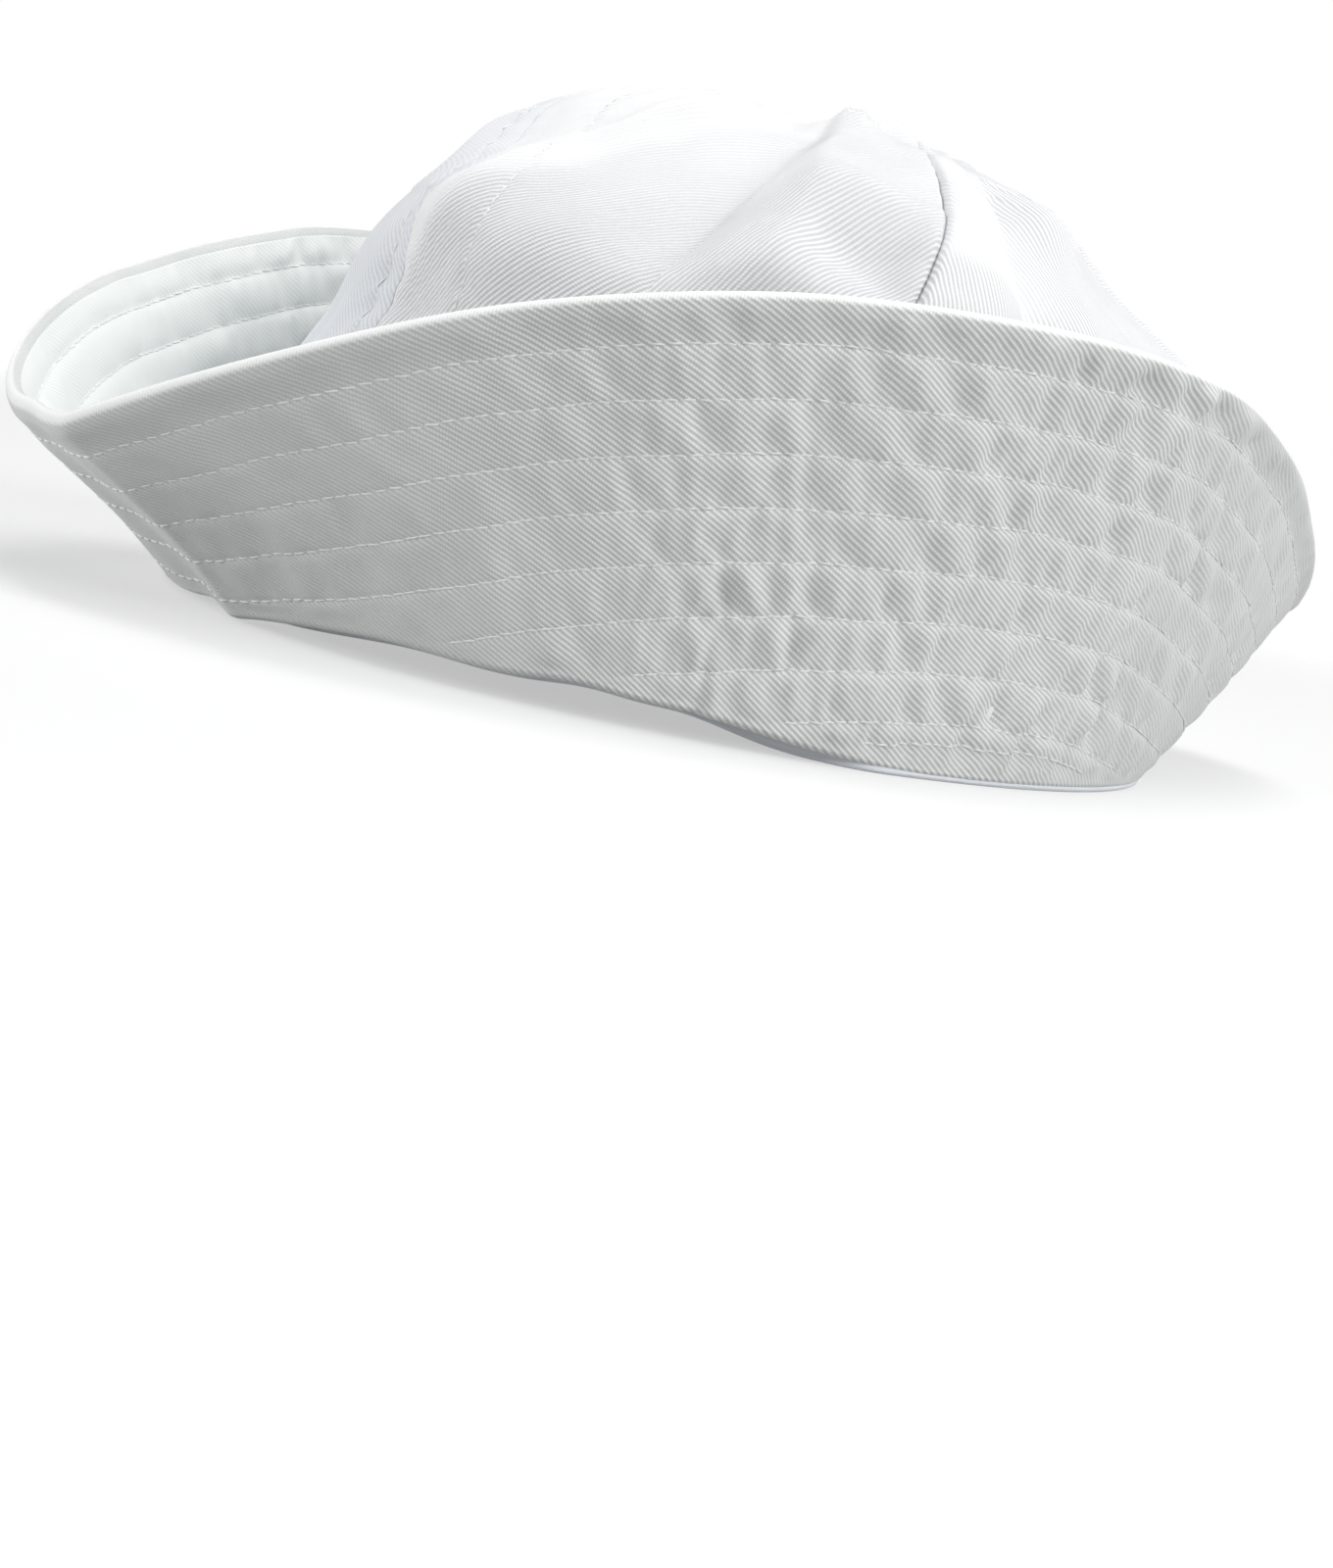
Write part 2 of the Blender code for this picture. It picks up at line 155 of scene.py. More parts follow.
# Folds of the crown.  Each is a line of (turn, level) knots; the cloth rises
# (+) or sinks (-) along it and falls away over reach_a on the side of smaller
# turns and reach_b on the side of larger ones.
FOLDS = (
    # name, height, reach_a, reach_b, softness, knots
    ("top_ridge",    5.0, 15.0, 9.0, 0.6,
     ((9.5, .40), (12.8, .455), (14.8, .50), (16.3, .55), (16, .61), (16.5, .65), (19, .70), (20, .74), (24, .79), (25, .84), (28, .89))),
    ("pinch_valley", -4.9, 10.0, 6.0, 0.8,
     ((40, .43), (40, .49), (40, .55), (40, .62), (40, .68), (40.3, .74), (40, .80), (38.5, .87), (36, .915), (34, .95))),
    ("pinch_ridge",  5.0, 7.0, 13.0, 0.7,
     ((48, .42), (48.2, .497), (49, .54), (49.5, .60), (48.2, .67), (46, .73), (44.5, .78), (42.5, .83), (39.5, .90), (38, .93))),
    ("left_edge",   -5.8, 5.0, 7.0, 0.6,
     ((83, .40), (83, .50), (82, .56), (80, .63), (79.5, .69), (79, .75), (77, .82))),
    ("left_ridge",   0.8, 8.0, 9.0, 2.0,
     ((92, .45), (92, .60), (89, .72), (88, .80), (86, .88))),
    ("left_valley", -1.6, 9.0, 10.0, 2.5,
     ((106, .40), (104, .58), (101, .72), (100, .84))),
    ("back_left_ridge", 1.6, 10.0, 10.0, 2.5,
     ((138, .36), (136, .52), (134, .70), (132, .82))),
    ("back_left_valley", -2.2, 9.0, 11.0, 1.8,
     ((160, .34), (164, .50), (168, .66), (172, .84))),
    ("back_right_ridge", 1.8, 9.0, 12.0, 2.0,
     ((212, .32), (208, .50), (204, .68), (200, .86))),
    ("back_right_valley", -1.8, 8.0, 9.0, 1.8,
     ((228, .42), (226, .58), (222, .76), (220, .88))),
    ("right_valley", -2.4, 10.0, 9.0, 1.6,
     ((270, .30), (266, .48), (262, .66), (256, .86))),
    ("right_ridge",  1.8, 9.0, 10.0, 2.0,
     ((286, .40), (283, .56), (280, .74), (276, .88))),
    ("front_right_valley", -2.2, 9.0, 11.0, 1.8,
     ((336, .36), (330, .52), (325, .70), (320, .86))),
    ("front_right_ridge", 1.4, 9.0, 9.0, 2.2,
     ((350, .34), (348, .48), (345, .62), (342, .76))),
)
SWELLS = (
    # name, turn, level, half width around, half width up, height
    ("pinch_peak",   40.5, 0.890, 4.2, 4.6,  5.2),
    ("apex_lip",     49.0, 0.935, 3.5, 3.0,  4.4),
    ("apex_gap",     44.0, 0.945, 2.5, 2.5, -1.6),
    ("pinch_dimple", 56.0, 0.560, 7.5, 4.5, -3.8),
    ("dimple_brow",  56.0, 0.645, 9.0, 4.0,  2.8),
    ("back_bump",    92.0, 0.740, 7.0, 6.0,  2.6),
    ("front_soft",   24.0, 0.510, 15.0, 12.0, 2.2),
    ("front_hollow", 13.0, 0.405, 13.0, 8.0, -2.6),
    ("front_scoop",  31.0, 0.545, 13.0, 9.0, -2.6),
    ("band_swell",   72.0, 0.660, 5.0, 14.0,  2.8),
    ("right_soft",  296.0, 0.480, 18.0, 16.0, 1.2),
    ("back_soft",   192.0, 0.460, 20.0, 16.0, -1.2),
    ("top_sink",    200.0, 0.930, 12.0, 9.0, -1.8),
)


# ------------------------------------------------------------------ small tools
def ring(samples, turn):
    """Smooth closed curve through equally spaced samples, at turns in radians."""
    n = len(samples)
    c = np.fft.rfft(np.asarray(samples, dtype=float)) / n
    value = np.full(np.shape(turn), c[0].real)
    for k in range(1, n // 2):
        value = value + 2.0 * (c[k].real * np.cos(k * turn) - c[k].imag * np.sin(k * turn))
    return value + c[n // 2].real * np.cos(n // 2 * turn)


def spline(xs, ys, x):
    """Natural cubic spline through (xs, ys), ys with any trailing shape."""
    xs = np.asarray(xs, float)
    ys = np.asarray(ys, float)
    n = len(xs)
    h = np.diff(xs)
    a = np.zeros((n, n))
    b = np.zeros((n,) + ys.shape[1:])
    a[0, 0] = a[-1, -1] = 1.0
    for i in range(1, n - 1):
        a[i, i - 1], a[i, i], a[i, i + 1] = h[i - 1], 2 * (h[i - 1] + h[i]), h[i]
        b[i] = 6 * ((ys[i + 1] - ys[i]) / h[i] - (ys[i] - ys[i - 1]) / h[i - 1])
    m = np.linalg.solve(a, b.reshape(n, -1)).reshape(b.shape)
    x = np.asarray(x, float)
    i = np.clip(np.searchsorted(xs, x) - 1, 0, n - 2)
    extra = (slice(None),) * x.ndim + (None,) * (ys.ndim - 1)
    t, s, hi = (xs[i + 1] - x)[extra], (x - xs[i])[extra], h[i][extra]
    return (m[i] * t ** 3 + m[i + 1] * s ** 3) / (6 * hi) + \
        (ys[i] / hi - m[i] * hi / 6) * t + (ys[i + 1] / hi - m[i + 1] * hi / 6) * s


def unit(v):
    return v / np.maximum(np.linalg.norm(v, axis=-1, keepdims=True), 1e-9)


def step(x, a, b):
    t = np.clip((x - a) / (b - a), 0.0, 1.0)
    return t * t * (3 - 2 * t)


class Ripple:
    """Smooth irregular ripples: a seeded sum of waves, closed round the cap."""

    def __init__(self, seed, length, low, high, tall_low, tall_high, count=28):
        rng = np.random.RandomState(seed)
        self.around = TAU * np.round(length / rng.uniform(low, high, count)) / length
        self.up = TAU / rng.uniform(tall_low, tall_high, count) * rng.choice([-1, 1], count)
        self.phase = rng.uniform(0, TAU, count)
        self.size = rng.uniform(0.5, 1.0, count)
        self.size /= math.sqrt((self.size ** 2).sum() / 2)

    def __call__(self, x, y):
        total = np.zeros(np.broadcast(x, y).shape)
        for a, b, p, s in zip(self.around, self.up, self.phase, self.size):
            total += s * np.sin(a * x + b * y + p)
        return total


# ------------------------------------------------------------------ cuff shape
TABLE = np.array(CUFF_STATIONS, float)


def fold_lift(turn):
    """The fold rides a little higher at the wearer's left front."""
    knots = np.array(FOLD_LIFT)
    t = (np.degrees(turn) + 30.0) % 360.0 - 30.0
    return np.where(t < knots[-1, 0], np.maximum(spline(knots[:, 0], knots[:, 1], np.clip(t, -30.0, knots[-1, 0])), 0.0), 0.0)


def front_swell(turn):
    """The front swells out just below its rim."""
    knots = np.array(FRONT_SWELL)
    t = (np.degrees(turn) + 60.0) % 360.0 - 60.0
    return np.where(t < knots[-1, 0], np.maximum(spline(knots[:, 0], knots[:, 1], np.clip(t, -60.0, knots[-1, 0])), 0.0), 0.0)


def rim_trim(turn):
    knots = np.array(RIM_TRIM)
    return spline(knots[:, 0], knots[:, 1], (np.degrees(turn) - 20.0) % 360.0 + 20.0)


def rim_line(turn):
    return np.stack([ring(TABLE[:, 1], turn), ring(TABLE[:, 2], turn),
                     ring(TABLE[:, 3], turn) + rim_trim(turn)], -1)


def fold_line(turn):
    return np.stack([ring(TABLE[:, 4], turn), ring(TABLE[:, 5], turn),
                     FOLD_HEIGHT + fold_lift(turn)], -1)


FINE = np.linspace(0, TAU, 7201)
_steps = np.linalg.norm(np.diff(rim_line(FINE), axis=0), axis=1)
RIM_RUN = np.concatenate([[0.0], np.cumsum(_steps)])
RIM_LENGTH = RIM_RUN[-1]


def run_at(turn):
    return np.interp(np.mod(turn, TAU), FINE, RIM_RUN)


def turn_at(run):
    return np.interp(np.mod(run, RIM_LENGTH), RIM_RUN, FINE)


def slope_length(turn):
    return np.linalg.norm(fold_line(turn) - rim_line(turn), axis=-1)


def cuff_base(turn, s):
    """Plain outer face of the cuff at slope distance s from the rim, and its normal."""
    rim, fold = rim_line(turn), fold_line(turn)
    run = fold - rim
    length = np.linalg.norm(run, axis=-1, keepdims=True)
    e = 1e-3
    around = (rim_line(turn + e) + fold_line(turn + e)) - (rim + fold)
    n = unit(np.cross(run, around))
    mid = (rim + fold) / 2 - np.array([0.0, CENTRE_Y, 0.0])
    mid[..., 2] = 0
    n = n * np.sign((n * mid).sum(-1, keepdims=True))
    t = s[..., None] / length
    bow = ring(TABLE[:, 6], turn)[..., None]
    inside = np.clip(t, 0.0, 1.0)
    swell = front_swell(turn)[..., None] * np.sin(math.pi * inside * 2.2 / (1 + 1.2 * inside))
    return rim + run * t + n * (bow * 4 * t * (1 - t) + swell), n, unit(run)


broad = Ripple(11, RIM_LENGTH, 18.0, 34.0, 30.0, 90.0)
fine = Ripple(23, RIM_LENGTH, 8.0, 13.0, 30.0, 90.0)
slack = Ripple(37, RIM_LENGTH, 45.0, 95.0, 120.0, 300.0)
swell_of = Ripple(41, RIM_LENGTH, 22.0, 60.0, 9.0, 22.0)
pillow_wave = Ripple(47, RIM_LENGTH, 9.0, 22.0, 9.0, 22.0, 36)
channel_wave = Ripple(43, RIM_LENGTH, 8.0, 19.0, 10.0, 26.0, 36)
crisp = Ripple(59, RIM_LENGTH, 3.6, 6.5, 9.0, 24.0, 36)


def pucker_runs(row, face):
    """Places of the puckers along one stitch row: run, depth, lean, half width."""
    rng = np.random.RandomState(100 * face + row)
    places = []
    lo, hi = run_at(math.radians(LISTED_FROM)), run_at(math.radians(LISTED_TO))
    listed = dict(PUCKERS).get(row, ()) if face == 0 else ()
    for turn in listed:
        places.append(run_at(math.radians(turn)))
    x = rng.uniform(0, PUCKER_PITCH)
    while x < RIM_LENGTH - 4:
        if not listed or not lo - 4 < x < hi + 4:
            places.append(x)
        x += PUCKER_PITCH * rng.uniform(0.65, 1.35)
    out = []
    for x in sorted(places):
        turn = turn_at(x)
        strength = 0.30 + 0.75 * step(math.cos(turn), 0.80, 0.30)
        out.append((x, strength * rng.uniform(0.4, 1.25), rng.uniform(-0.75, -0.05),
                    rng.uniform(1.9, 3.4)))
    return out


PUCKER_TABLE = {(row, face): pucker_runs(row, face) for row in range(1, 9) for face in (0, 1)}


def quilting(turn, s, face):
    """How far the cloth of one face stands proud of its plain shape."""
    run = run_at(turn)
    length = slope_length(turn)
    total = np.zeros(np.shape(s))
    edges = [0.0] + ROWS
    fade_low = step(length - s, 0.4, 3.0)
    vary = 1.0 + 0.28 * swell_of(run, s)
    for k in range(len(edges)):
        a = edges[k]
        b = edges[k + 1] if k + 1 < len(edges) else a + ROW_PITCH
        x = np.clip((s - a) / (b - a), 0, 1)
        inside = (s >= a) & (s < b)
        if face == 0:
            # fuller just under a row, drawn in towards the next, fuller here and slacker there
            shape = 1 - np.abs(2 * x ** 0.56 - 1) ** 2.2
            size = PILLOW * min(1.0, (b - a) / ROW_PITCH) * (0.5 if k == 0 else 1.0)
            size = size * (0.30 + 0.70 * step(np.cos(turn), 0.78, 0.4))
            uneven = 1.0 + PILLOW_UNEVEN * pillow_wave(run - 0.5 * (s - a), 300.0 * k)
            total += np.where(inside, size * shape * uneven, 0)
        else:
            shape = 1 - np.abs(2 * x ** 0.86 - 1) ** 2.3
            total += np.where(inside, 2.0 * PILLOW_INSIDE * (0.55 if k == 0 else 1.0) * shape * vary, 0)
    for k, row in enumerate(ROWS):
        pull = GROOVE * np.exp(-((s - row) / 0.42) ** 2) if face == 0 else \
            1.6 * GROOVE * np.exp(-(np.abs(s - row) / 0.9) ** 1.5)
        total -= pull * step(length - row, 0.5, 2.0)
    for row_number in range(1, 9):
        row = ROWS[row_number - 1]
        near = (s > row - 8.5) & (s < row + 4.5)
        if not near.any():
            continue
        r, d = run[near], row - s[near]
        here = length[near]
        gather = np.zeros(r.shape)
        for place, depth, lean, wide in PUCKER_TABLE[(row_number, face)]:
            off = r - place - lean * d
            off = (off + RIM_LENGTH / 2) % RIM_LENGTH - RIM_LENGTH / 2
            close = np.abs(off) < 9
            if not close.any():
                continue
            o, dd = off[close], d[close]
            above = np.exp(-(o / wide) ** 2) * np.where(dd > 0, step(dd, 0.0, 1.6) * np.exp(-np.maximum(dd - 1.6, 0) ** 2 / 14.0), 0)
            beside = np.exp(-((np.abs(o) - 3.4) / 1.9) ** 2) * np.where(dd > 0, step(dd, 0.0, 2.0) * np.exp(-np.maximum(dd - 2.0, 0) ** 2 / 14.0), 0)
            below = np.exp(-(o / (wide * 1.15)) ** 2) * np.where(dd <= 0, step(-dd, 0.0, 1.0) * np.exp(-np.maximum(-dd - 1.0, 0) ** 2 / 6.0), 0)
            gather[close] += depth * (-above + 0.34 * beside + 0.45 * below)
        total[near] += PUCKER_DEPTH * gather * step(here - row, 1.0, 4.0)
    back = 0.25 + 0.75 * step(np.cos(turn), 0.55, -0.25)
    wave = 0.30 * (0.45 + 0.55 * step(np.cos(turn), 0.85, 0.5)) * broad(run, s) + 0.21 * back * fine(run, s)
    between = np.abs(np.sin(math.pi * (s - FIRST_ROW) / ROW_PITCH))
    hold = 0.55 + 0.45 * between
    wave = wave + CRISP_GATHERS * (0.1 + 0.9 * step(np.cos(turn), 0.80, 0.45)) * (1.0 - 0.5 * between) * crisp(run, s)
    # each channel between two rows ripples in its own way
    channel = np.floor((s - FIRST_ROW) / ROW_PITCH)
    own = channel_wave(run - 0.5 * (s - FIRST_ROW - channel * ROW_PITCH), 1000.0 * channel)
    total += wave * hold + CHANNEL_WAVE * own * between ** 0.8 * (0.18 + 0.82 * step(np.cos(turn), 0.78, 0.38)) * np.where(s < FIRST_ROW, 0.75, 1.0)
    # the cloth lies calmer where the brim turns away to the back
    calm = 1.0 - 0.55 * step(turn, math.radians(116), math.radians(134)) * (1 - step(turn, math.radians(185), math.radians(215)))
    # and over the front, left of the crease
    front = (turn + math.pi) % TAU - math.pi
    calm = calm * (1.0 - 0.65 * step(front, math.radians(-70), math.radians(-35)) * (1 - step(front, math.radians(2), math.radians(20))))
    return total * fade_low * (calm if face == 0 else 0.8)


def bends(turn, s):
    """Larger shape of the cuff, shared by both faces."""
    run = run_at(turn)
    length = slope_length(turn)
    t = s / length
    total = 0.55 * slack(run, s) * (1 - t) ** 0.5
    # the edge above the first row of stitches rolls outward a little
    total = total + 1.8 * np.clip(1 - s / FIRST_ROW, 0, 1) ** 1.6 * (0.45 + 0.55 * step(np.cos(turn), 0.85, 0.3))
    # and the very edge turns up
    total = total - 1.2 * np.clip(1 - s / 2.9, 0, 1) ** 1.4
    # the crease at the front, where the two sides of the brim meet
    line = run_at(np.radians(10.0 - 3.0 * t))
    off = (run - line + RIM_LENGTH / 2) % RIM_LENGTH - RIM_LENGTH / 2
    total = total + 1.5 * np.exp(-(np.sqrt(off ** 2 + 1.0) - 1.0) / 6.0)
    dent = (run - run_at(np.radians(1.0)) + RIM_LENGTH / 2) % RIM_LENGTH - RIM_LENGTH / 2
    total = total - 1.0 * np.exp(-(dent / 7.0) ** 2)
    # two upright folds above the hem at the wearer's left
    for turn_deg, high, low, wide, size in ((64.6, 50.0, 68.0, 2.6, 0.5), (63.0, 50.0, 66.0, 2.4, -0.5),
                                            (71.0, 49.0, 60.0, 2.4, -0.4), (69.0, 49.0, 62.0, 2.6, 0.3)):
        o = run - run_at(math.radians(turn_deg)) + 0.10 * (s - 58.0)
        total = total + size * np.exp(-(o / wide) ** 2) * step(s, high, high + 4) * (1 - step(s, low - 3, low + 5))
    # and one at the back, at the wearer's right
    o = run - run_at(math.radians(204.0)) - 0.2 * (s - 30)
    total = total - 1.0 * np.exp(-(o / 6.0) ** 2) * step(s, 6, 26)
    return total


def cuff_point(turn, s, inward, face):
    """A point of the cuff: slope distance s, distance inward from the outer face."""
    s_safe = np.maximum(s, 0.0)
    base, n, down = cuff_base(turn, s)
    lift = bends(turn, s_safe)
    fullness = quilting(turn, s_safe, face)
    ease = step(s_safe, 0.2, 4.5)
    sign = 1.0 if face == 0 else -1.0
    return base + n * (lift - inward + sign * fullness * ease)[..., None]


def wall(s):
    return WALL + (WALL_AT_RIM - WALL) * (1 - step(s, 3.0, 9.0))


# ------------------------------------------------------------------ mesh maker
def levels_between(a, b, count, pull=0.0):
    x = np.linspace(0, 1, count + 1)[1:]
    if pull:
        x = x - pull * np.sin(TAU * x) / TAU
    return list(a + (b - a) * x)


def grid_faces(rows, cols, closed):
    r = np.arange(rows - 1)[:, None]
    c = np.arange(cols if closed else cols - 1)[None, :]
    nxt = (c + 1) % cols
    a = r * cols + c
    b = r * cols + nxt
    return np.stack([a, a + cols, b + cols, b], -1).reshape(-1, 4)


def add_mesh(name, verts, faces, uv=None, uv_name="UVMap", smooth=True):
    """verts in mm, faces as an array of quads or triangles, uv per corner in mm."""
    mesh = bpy.data.meshes.new(name)
    v = np.asarray(verts, np.float64).reshape(-1, 3) * MM
    faces = np.asarray(faces)
    k = faces.shape[1]
    mesh.vertices.add(len(v))
    mesh.vertices.foreach_set("co", v.ravel())
    mesh.loops.add(faces.size)
    mesh.loops.foreach_set("vertex_index", faces.ravel().astype(np.int32))
    mesh.polygons.add(len(faces))
    mesh.polygons.foreach_set("loop_start", np.arange(0, faces.size, k, dtype=np.int32))
    mesh.polygons.foreach_set("loop_total", np.full(len(faces), k, dtype=np.int32))
    if uv is not None:
        layer = mesh.uv_layers.new(name=uv_name)
        layer.data.foreach_set("uv", (np.asarray(uv, np.float64).reshape(-1, 2)).ravel())
    mesh.update(calc_edges=True)
    mesh.validate()
    if smooth:
        mesh.shade_smooth()
    obj = bpy.data.objects.new(name, mesh)
    bpy.context.scene.collection.objects.link(obj)
    return obj


PATTERN_RADIUS = 625.0     # the brim is cut as two arcs, seamed at front and back
PATTERN_SEAMS = (8.0, 187.0)
PATTERN_MIDDLES = (70.0, 290.0)


def on_pattern(run, v, near):
    """Where a point of the brim lies on the flat piece of cloth it was cut from."""
    middle = np.where(near, run_at(math.radians(PATTERN_MIDDLES[0])),
                      run_at(math.radians(PATTERN_MIDDLES[1])))
    turn = ((run - middle + RIM_LENGTH / 2) % RIM_LENGTH - RIM_LENGTH / 2) / PATTERN_RADIUS
    radius = PATTERN_RADIUS - v
    return np.stack([radius * np.sin(turn), radius * np.cos(turn) - PATTERN_RADIUS], -1)


def closed_grid(name, points, u, v, flip=False, pattern=False, rim=False):
    """Grid closed in its second direction; u per column (its last wraps), v per row.

    With rim, a second layer of texture coordinates holds u and v themselves, so
    that the cloth can be told how far it lies from the rim.
    """
    rows, cols = points.shape[:2]
    faces = grid_faces(rows, cols, True)
    r = np.repeat(np.arange(rows - 1), cols)
    c = np.tile(np.arange(cols), rows - 1)
    u_next = np.append(u[1:], u[0] + RIM_LENGTH)
    if v.ndim == 1:
        v = np.repeat(v[:, None], cols, 1)
    q = (c + 1) % cols
    corners = ((u[c], v[r, c]), (u[c], v[r + 1, c]), (u_next[c], v[r + 1, q]), (u_next[c], v[r, q]))
    if pattern:
        a, b = (run_at(math.radians(t)) for t in PATTERN_SEAMS)
        middle = (u[c] + u_next[c]) / 2
        near = (middle > a) & (middle < b)
        uv = np.stack([on_pattern(x, y, near) for x, y in corners], 1)
    else:
        uv = np.stack([np.stack([x, y], -1) for x, y in corners], 1)
    if flip:
        faces = faces[:, ::-1]
        uv = uv[:, ::-1]
    obj = add_mesh(name, points, faces, uv)
    if rim:
        plain = np.stack([np.stack([x, y], -1) for x, y in corners], 1)
        if flip:
            plain = plain[:, ::-1]
        layer = obj.data.uv_layers.new(name="along")
        layer.data.foreach_set("uv", plain.reshape(-1, 2).astype(np.float64).ravel())
    return obj


def soft_limit(s, length, gap):
    """Keep levels above the fold, the last ones bunched just above it."""
    cap = length - gap
    k = 0.9
    m = np.minimum(s, cap)
    return m - k * np.log1p(np.exp(-np.abs(s - cap) / k))


# ------------------------------------------------------------------ cuff meshes
AROUND = 1000


def row_levels(per_row):
    """Slope distances from the first stitch row down, gathered near each row."""
    out = [FIRST_ROW]
    for a, b in zip(ROWS[:-1], ROWS[1:]):
        n = per_row if b - a > 5 else max(4, per_row // 2)
        out += levels_between(a, b, n, 0.62)
    out += levels_between(LAST_ROW, LAST_ROW + 12.0, 6)
    return np.array(out)


runs = np.linspace(0, RIM_LENGTH, AROUND, endpoint=False)
turns = turn_at(runs)
lengths = slope_length(turns)


def build_cuff_outer():
    # rows of the profile: slope distance, distance inward, face, length along the cloth
    profile = [(2.3, 2.0, 1, -2.3 - RIM_LEAD), (1.95, None, 1, -1.95 - RIM_LEAD), (1.6, None, 1, -1.6 - RIM_LEAD)]
    for beta in (150, 120, 90, 60, 30):
        b = math.radians(beta)
        profile.append((RIM_RADIUS * (1 - math.sin(b)), RIM_RADIUS * (1 - math.cos(b)), 0,
                        -RIM_RADIUS * (b - math.pi / 2)))
    for s in (RIM_RADIUS, 1.8, 2.2, 2.6, 3.0, 3.6, 4.4, 5.4, 6.3, 6.9):
        profile.append((s, 0.0, 0, s + RIM_LEAD))
    grid, v = [], []
    for s, inward, face, along in profile:
        sv = np.full(AROUND, float(s))
        inn = wall(sv) if inward is None else np.full(AROUND, inward)
        grid.append(cuff_point(turns, sv, inn, face))
        v.append(np.full(AROUND, along))
    body = row_levels(9)
    count = len(body)
    for j, s in enumerate(body):
        gap = 0.03 + 0.045 * (count - 1 - j)
        sv = soft_limit(np.full(AROUND, s), lengths, gap)
        grid.append(cuff_point(turns, sv, np.zeros(AROUND), 0))
        v.append(sv + RIM_LEAD)
    # under the fold
    fold = fold_line(turns)
    tangent = unit(np.roll(fold, -1, 0) - np.roll(fold, 1, 0))
    inward = np.stack([-tangent[:, 1], tangent[:, 0], np.zeros(AROUND)], -1)
    to_mid = np.array([0.0, CENTRE_Y, 0.0]) - fold
    inward *= np.sign((inward * to_mid).sum(-1))[:, None]
    last = grid[-1]
    for reach, drop in ((0.30, 0.42), (0.85, 0.78), (1.8, 0.92), (3.2, 0.75), (4.3, 0.30)):
        p = last + inward * reach
        p[:, 2] = last[:, 2] - drop
        grid.append(p)
        v.append(lengths + reach + RIM_LEAD)
    return closed_grid("cuff_outer_ply", np.array(grid), runs, np.array(v), pattern=True, rim=True)


def build_cuff_inner():
    body = row_levels(7)
    count = len(body)
    grid, v = [], []
    for s, sunk in ((1.65, 0.30), (1.7, 0.0), (2.1, -0.05), (2.8, -0.03), (3.9, 0.0), (5.2, 0.0), (6.4, 0.0)):
        sv = np.full(AROUND, s)
        grid.append(cuff_point(turns, sv, wall(sv) - sunk, 1))
        v.append(sv)
    for j, s in enumerate(body):
        gap = 2.4 + 0.045 * (count - 1 - j)
        sv = soft_limit(np.full(AROUND, s), lengths, gap)
        grid.append(cuff_point(turns, sv, wall(sv), 1))
        v.append(sv)
    return closed_grid("cuff_inner_ply", np.array(grid), runs, np.array(v), flip=True, pattern=True)


cuff_outer = build_cuff_outer()
cuff_inner = build_cuff_inner()


# ------------------------------------------------------------------ stitches
def stitch_mesh(name, centres, along, normal, length, radius, seed):
    """Short tapered threads lying on the cloth."""
    rng = np.random.RandomState(seed)
    count = len(centres)
    along, normal = unit(along), unit(normal)
    side = unit(np.cross(normal, along))
    yaw = rng.uniform(-0.18, 0.02, count)[:, None]
    along = unit(along + side * yaw)
    side = unit(np.cross(normal, along))
    size = length * rng.uniform(0.92, 1.06, count)
    xs = np.array([-0.5, -0.36, 0.0, 0.36, 0.5])
    rad = np.array([0.45, 0.95, 1.08, 0.95, 0.45]) * radius
    high = np.array([-0.42, 0.0, 0.18, 0.0, -0.42]) * radius * 1.6
    sides = 6
    verts = np.zeros((count, len(xs), sides, 3))
    for i in range(len(xs)):
        for j in range(sides):
            a = TAU * j / sides
            verts[:, i, j] = centres + along * (size * xs[i])[:, None] + \
                side * (rad[i] * math.cos(a)) + normal * (rad[i] * math.sin(a) * 0.8 + high[i])
    per = len(xs) * sides
    quads = []
    for i in range(len(xs) - 1):
        for j in range(sides):
            q = (j + 1) % sides
            quads.append((i * sides + j, i * sides + q, (i + 1) * sides + q, (i + 1) * sides + j))
    caps = [(5, 4, 3, 0), (3, 2, 1, 0)]
    last = (len(xs) - 1) * sides
    caps += [(last + 0, last + 1, last + 2, last + 3), (last + 0, last + 3, last + 4, last + 5)]
    faces = np.array(quads + caps)
    faces = (faces[None] + (np.arange(count) * per)[:, None, None]).reshape(-1, 4)
    return add_mesh(name, verts.reshape(-1, 3), faces)


STITCH_PITCH = 2.75
STITCH_LENGTH = 2.0


def cuff_stitches(name, face, seed):
    centres, along, normal = [], [], []
    rng = np.random.RandomState(seed)
    for k, row in enumerate(ROWS):
        n = int(RIM_LENGTH * (1 - 0.12 * row / 75) / STITCH_PITCH)
        r = (np.arange(n) + rng.uniform(0, 1)) * RIM_LENGTH / n + rng.uniform(-0.15, 0.15, n)
        a = turn_at(r)
        s = row + 0.12 * np.sin(r * 0.21 + k) + rng.uniform(-0.07, 0.07, n)
        room = slope_length(a)
        keep = room - s > (2.2 if face == 0 else 4.5)
        if k == ROW_COUNT:
            keep &= (a > math.radians(60)) & (a < math.radians(300))
        a, s = a[keep], s[keep]
        inward = np.zeros(len(a)) if face == 0 else wall(s)
        p = cuff_point(a, s, inward, face)
        q = cuff_point(a + 0.004, s, inward, face)
        w = cuff_point(a, s + 0.25, inward, face)
        nrm = unit(np.cross(w - p, q - p))
        base_n = cuff_base(a, s)[1] * (1 if face == 0 else -1)
        nrm = unit(0.4 * nrm * np.sign((nrm * base_n).sum(-1, keepdims=True)) + base_n)
        centres.append(p + nrm * 0.10)
        along.append(q - p)
        normal.append(nrm)
    return stitch_mesh(name, np.concatenate(centres), np.concatenate(along),
                       np.concatenate(normal), STITCH_LENGTH, 0.15, seed)


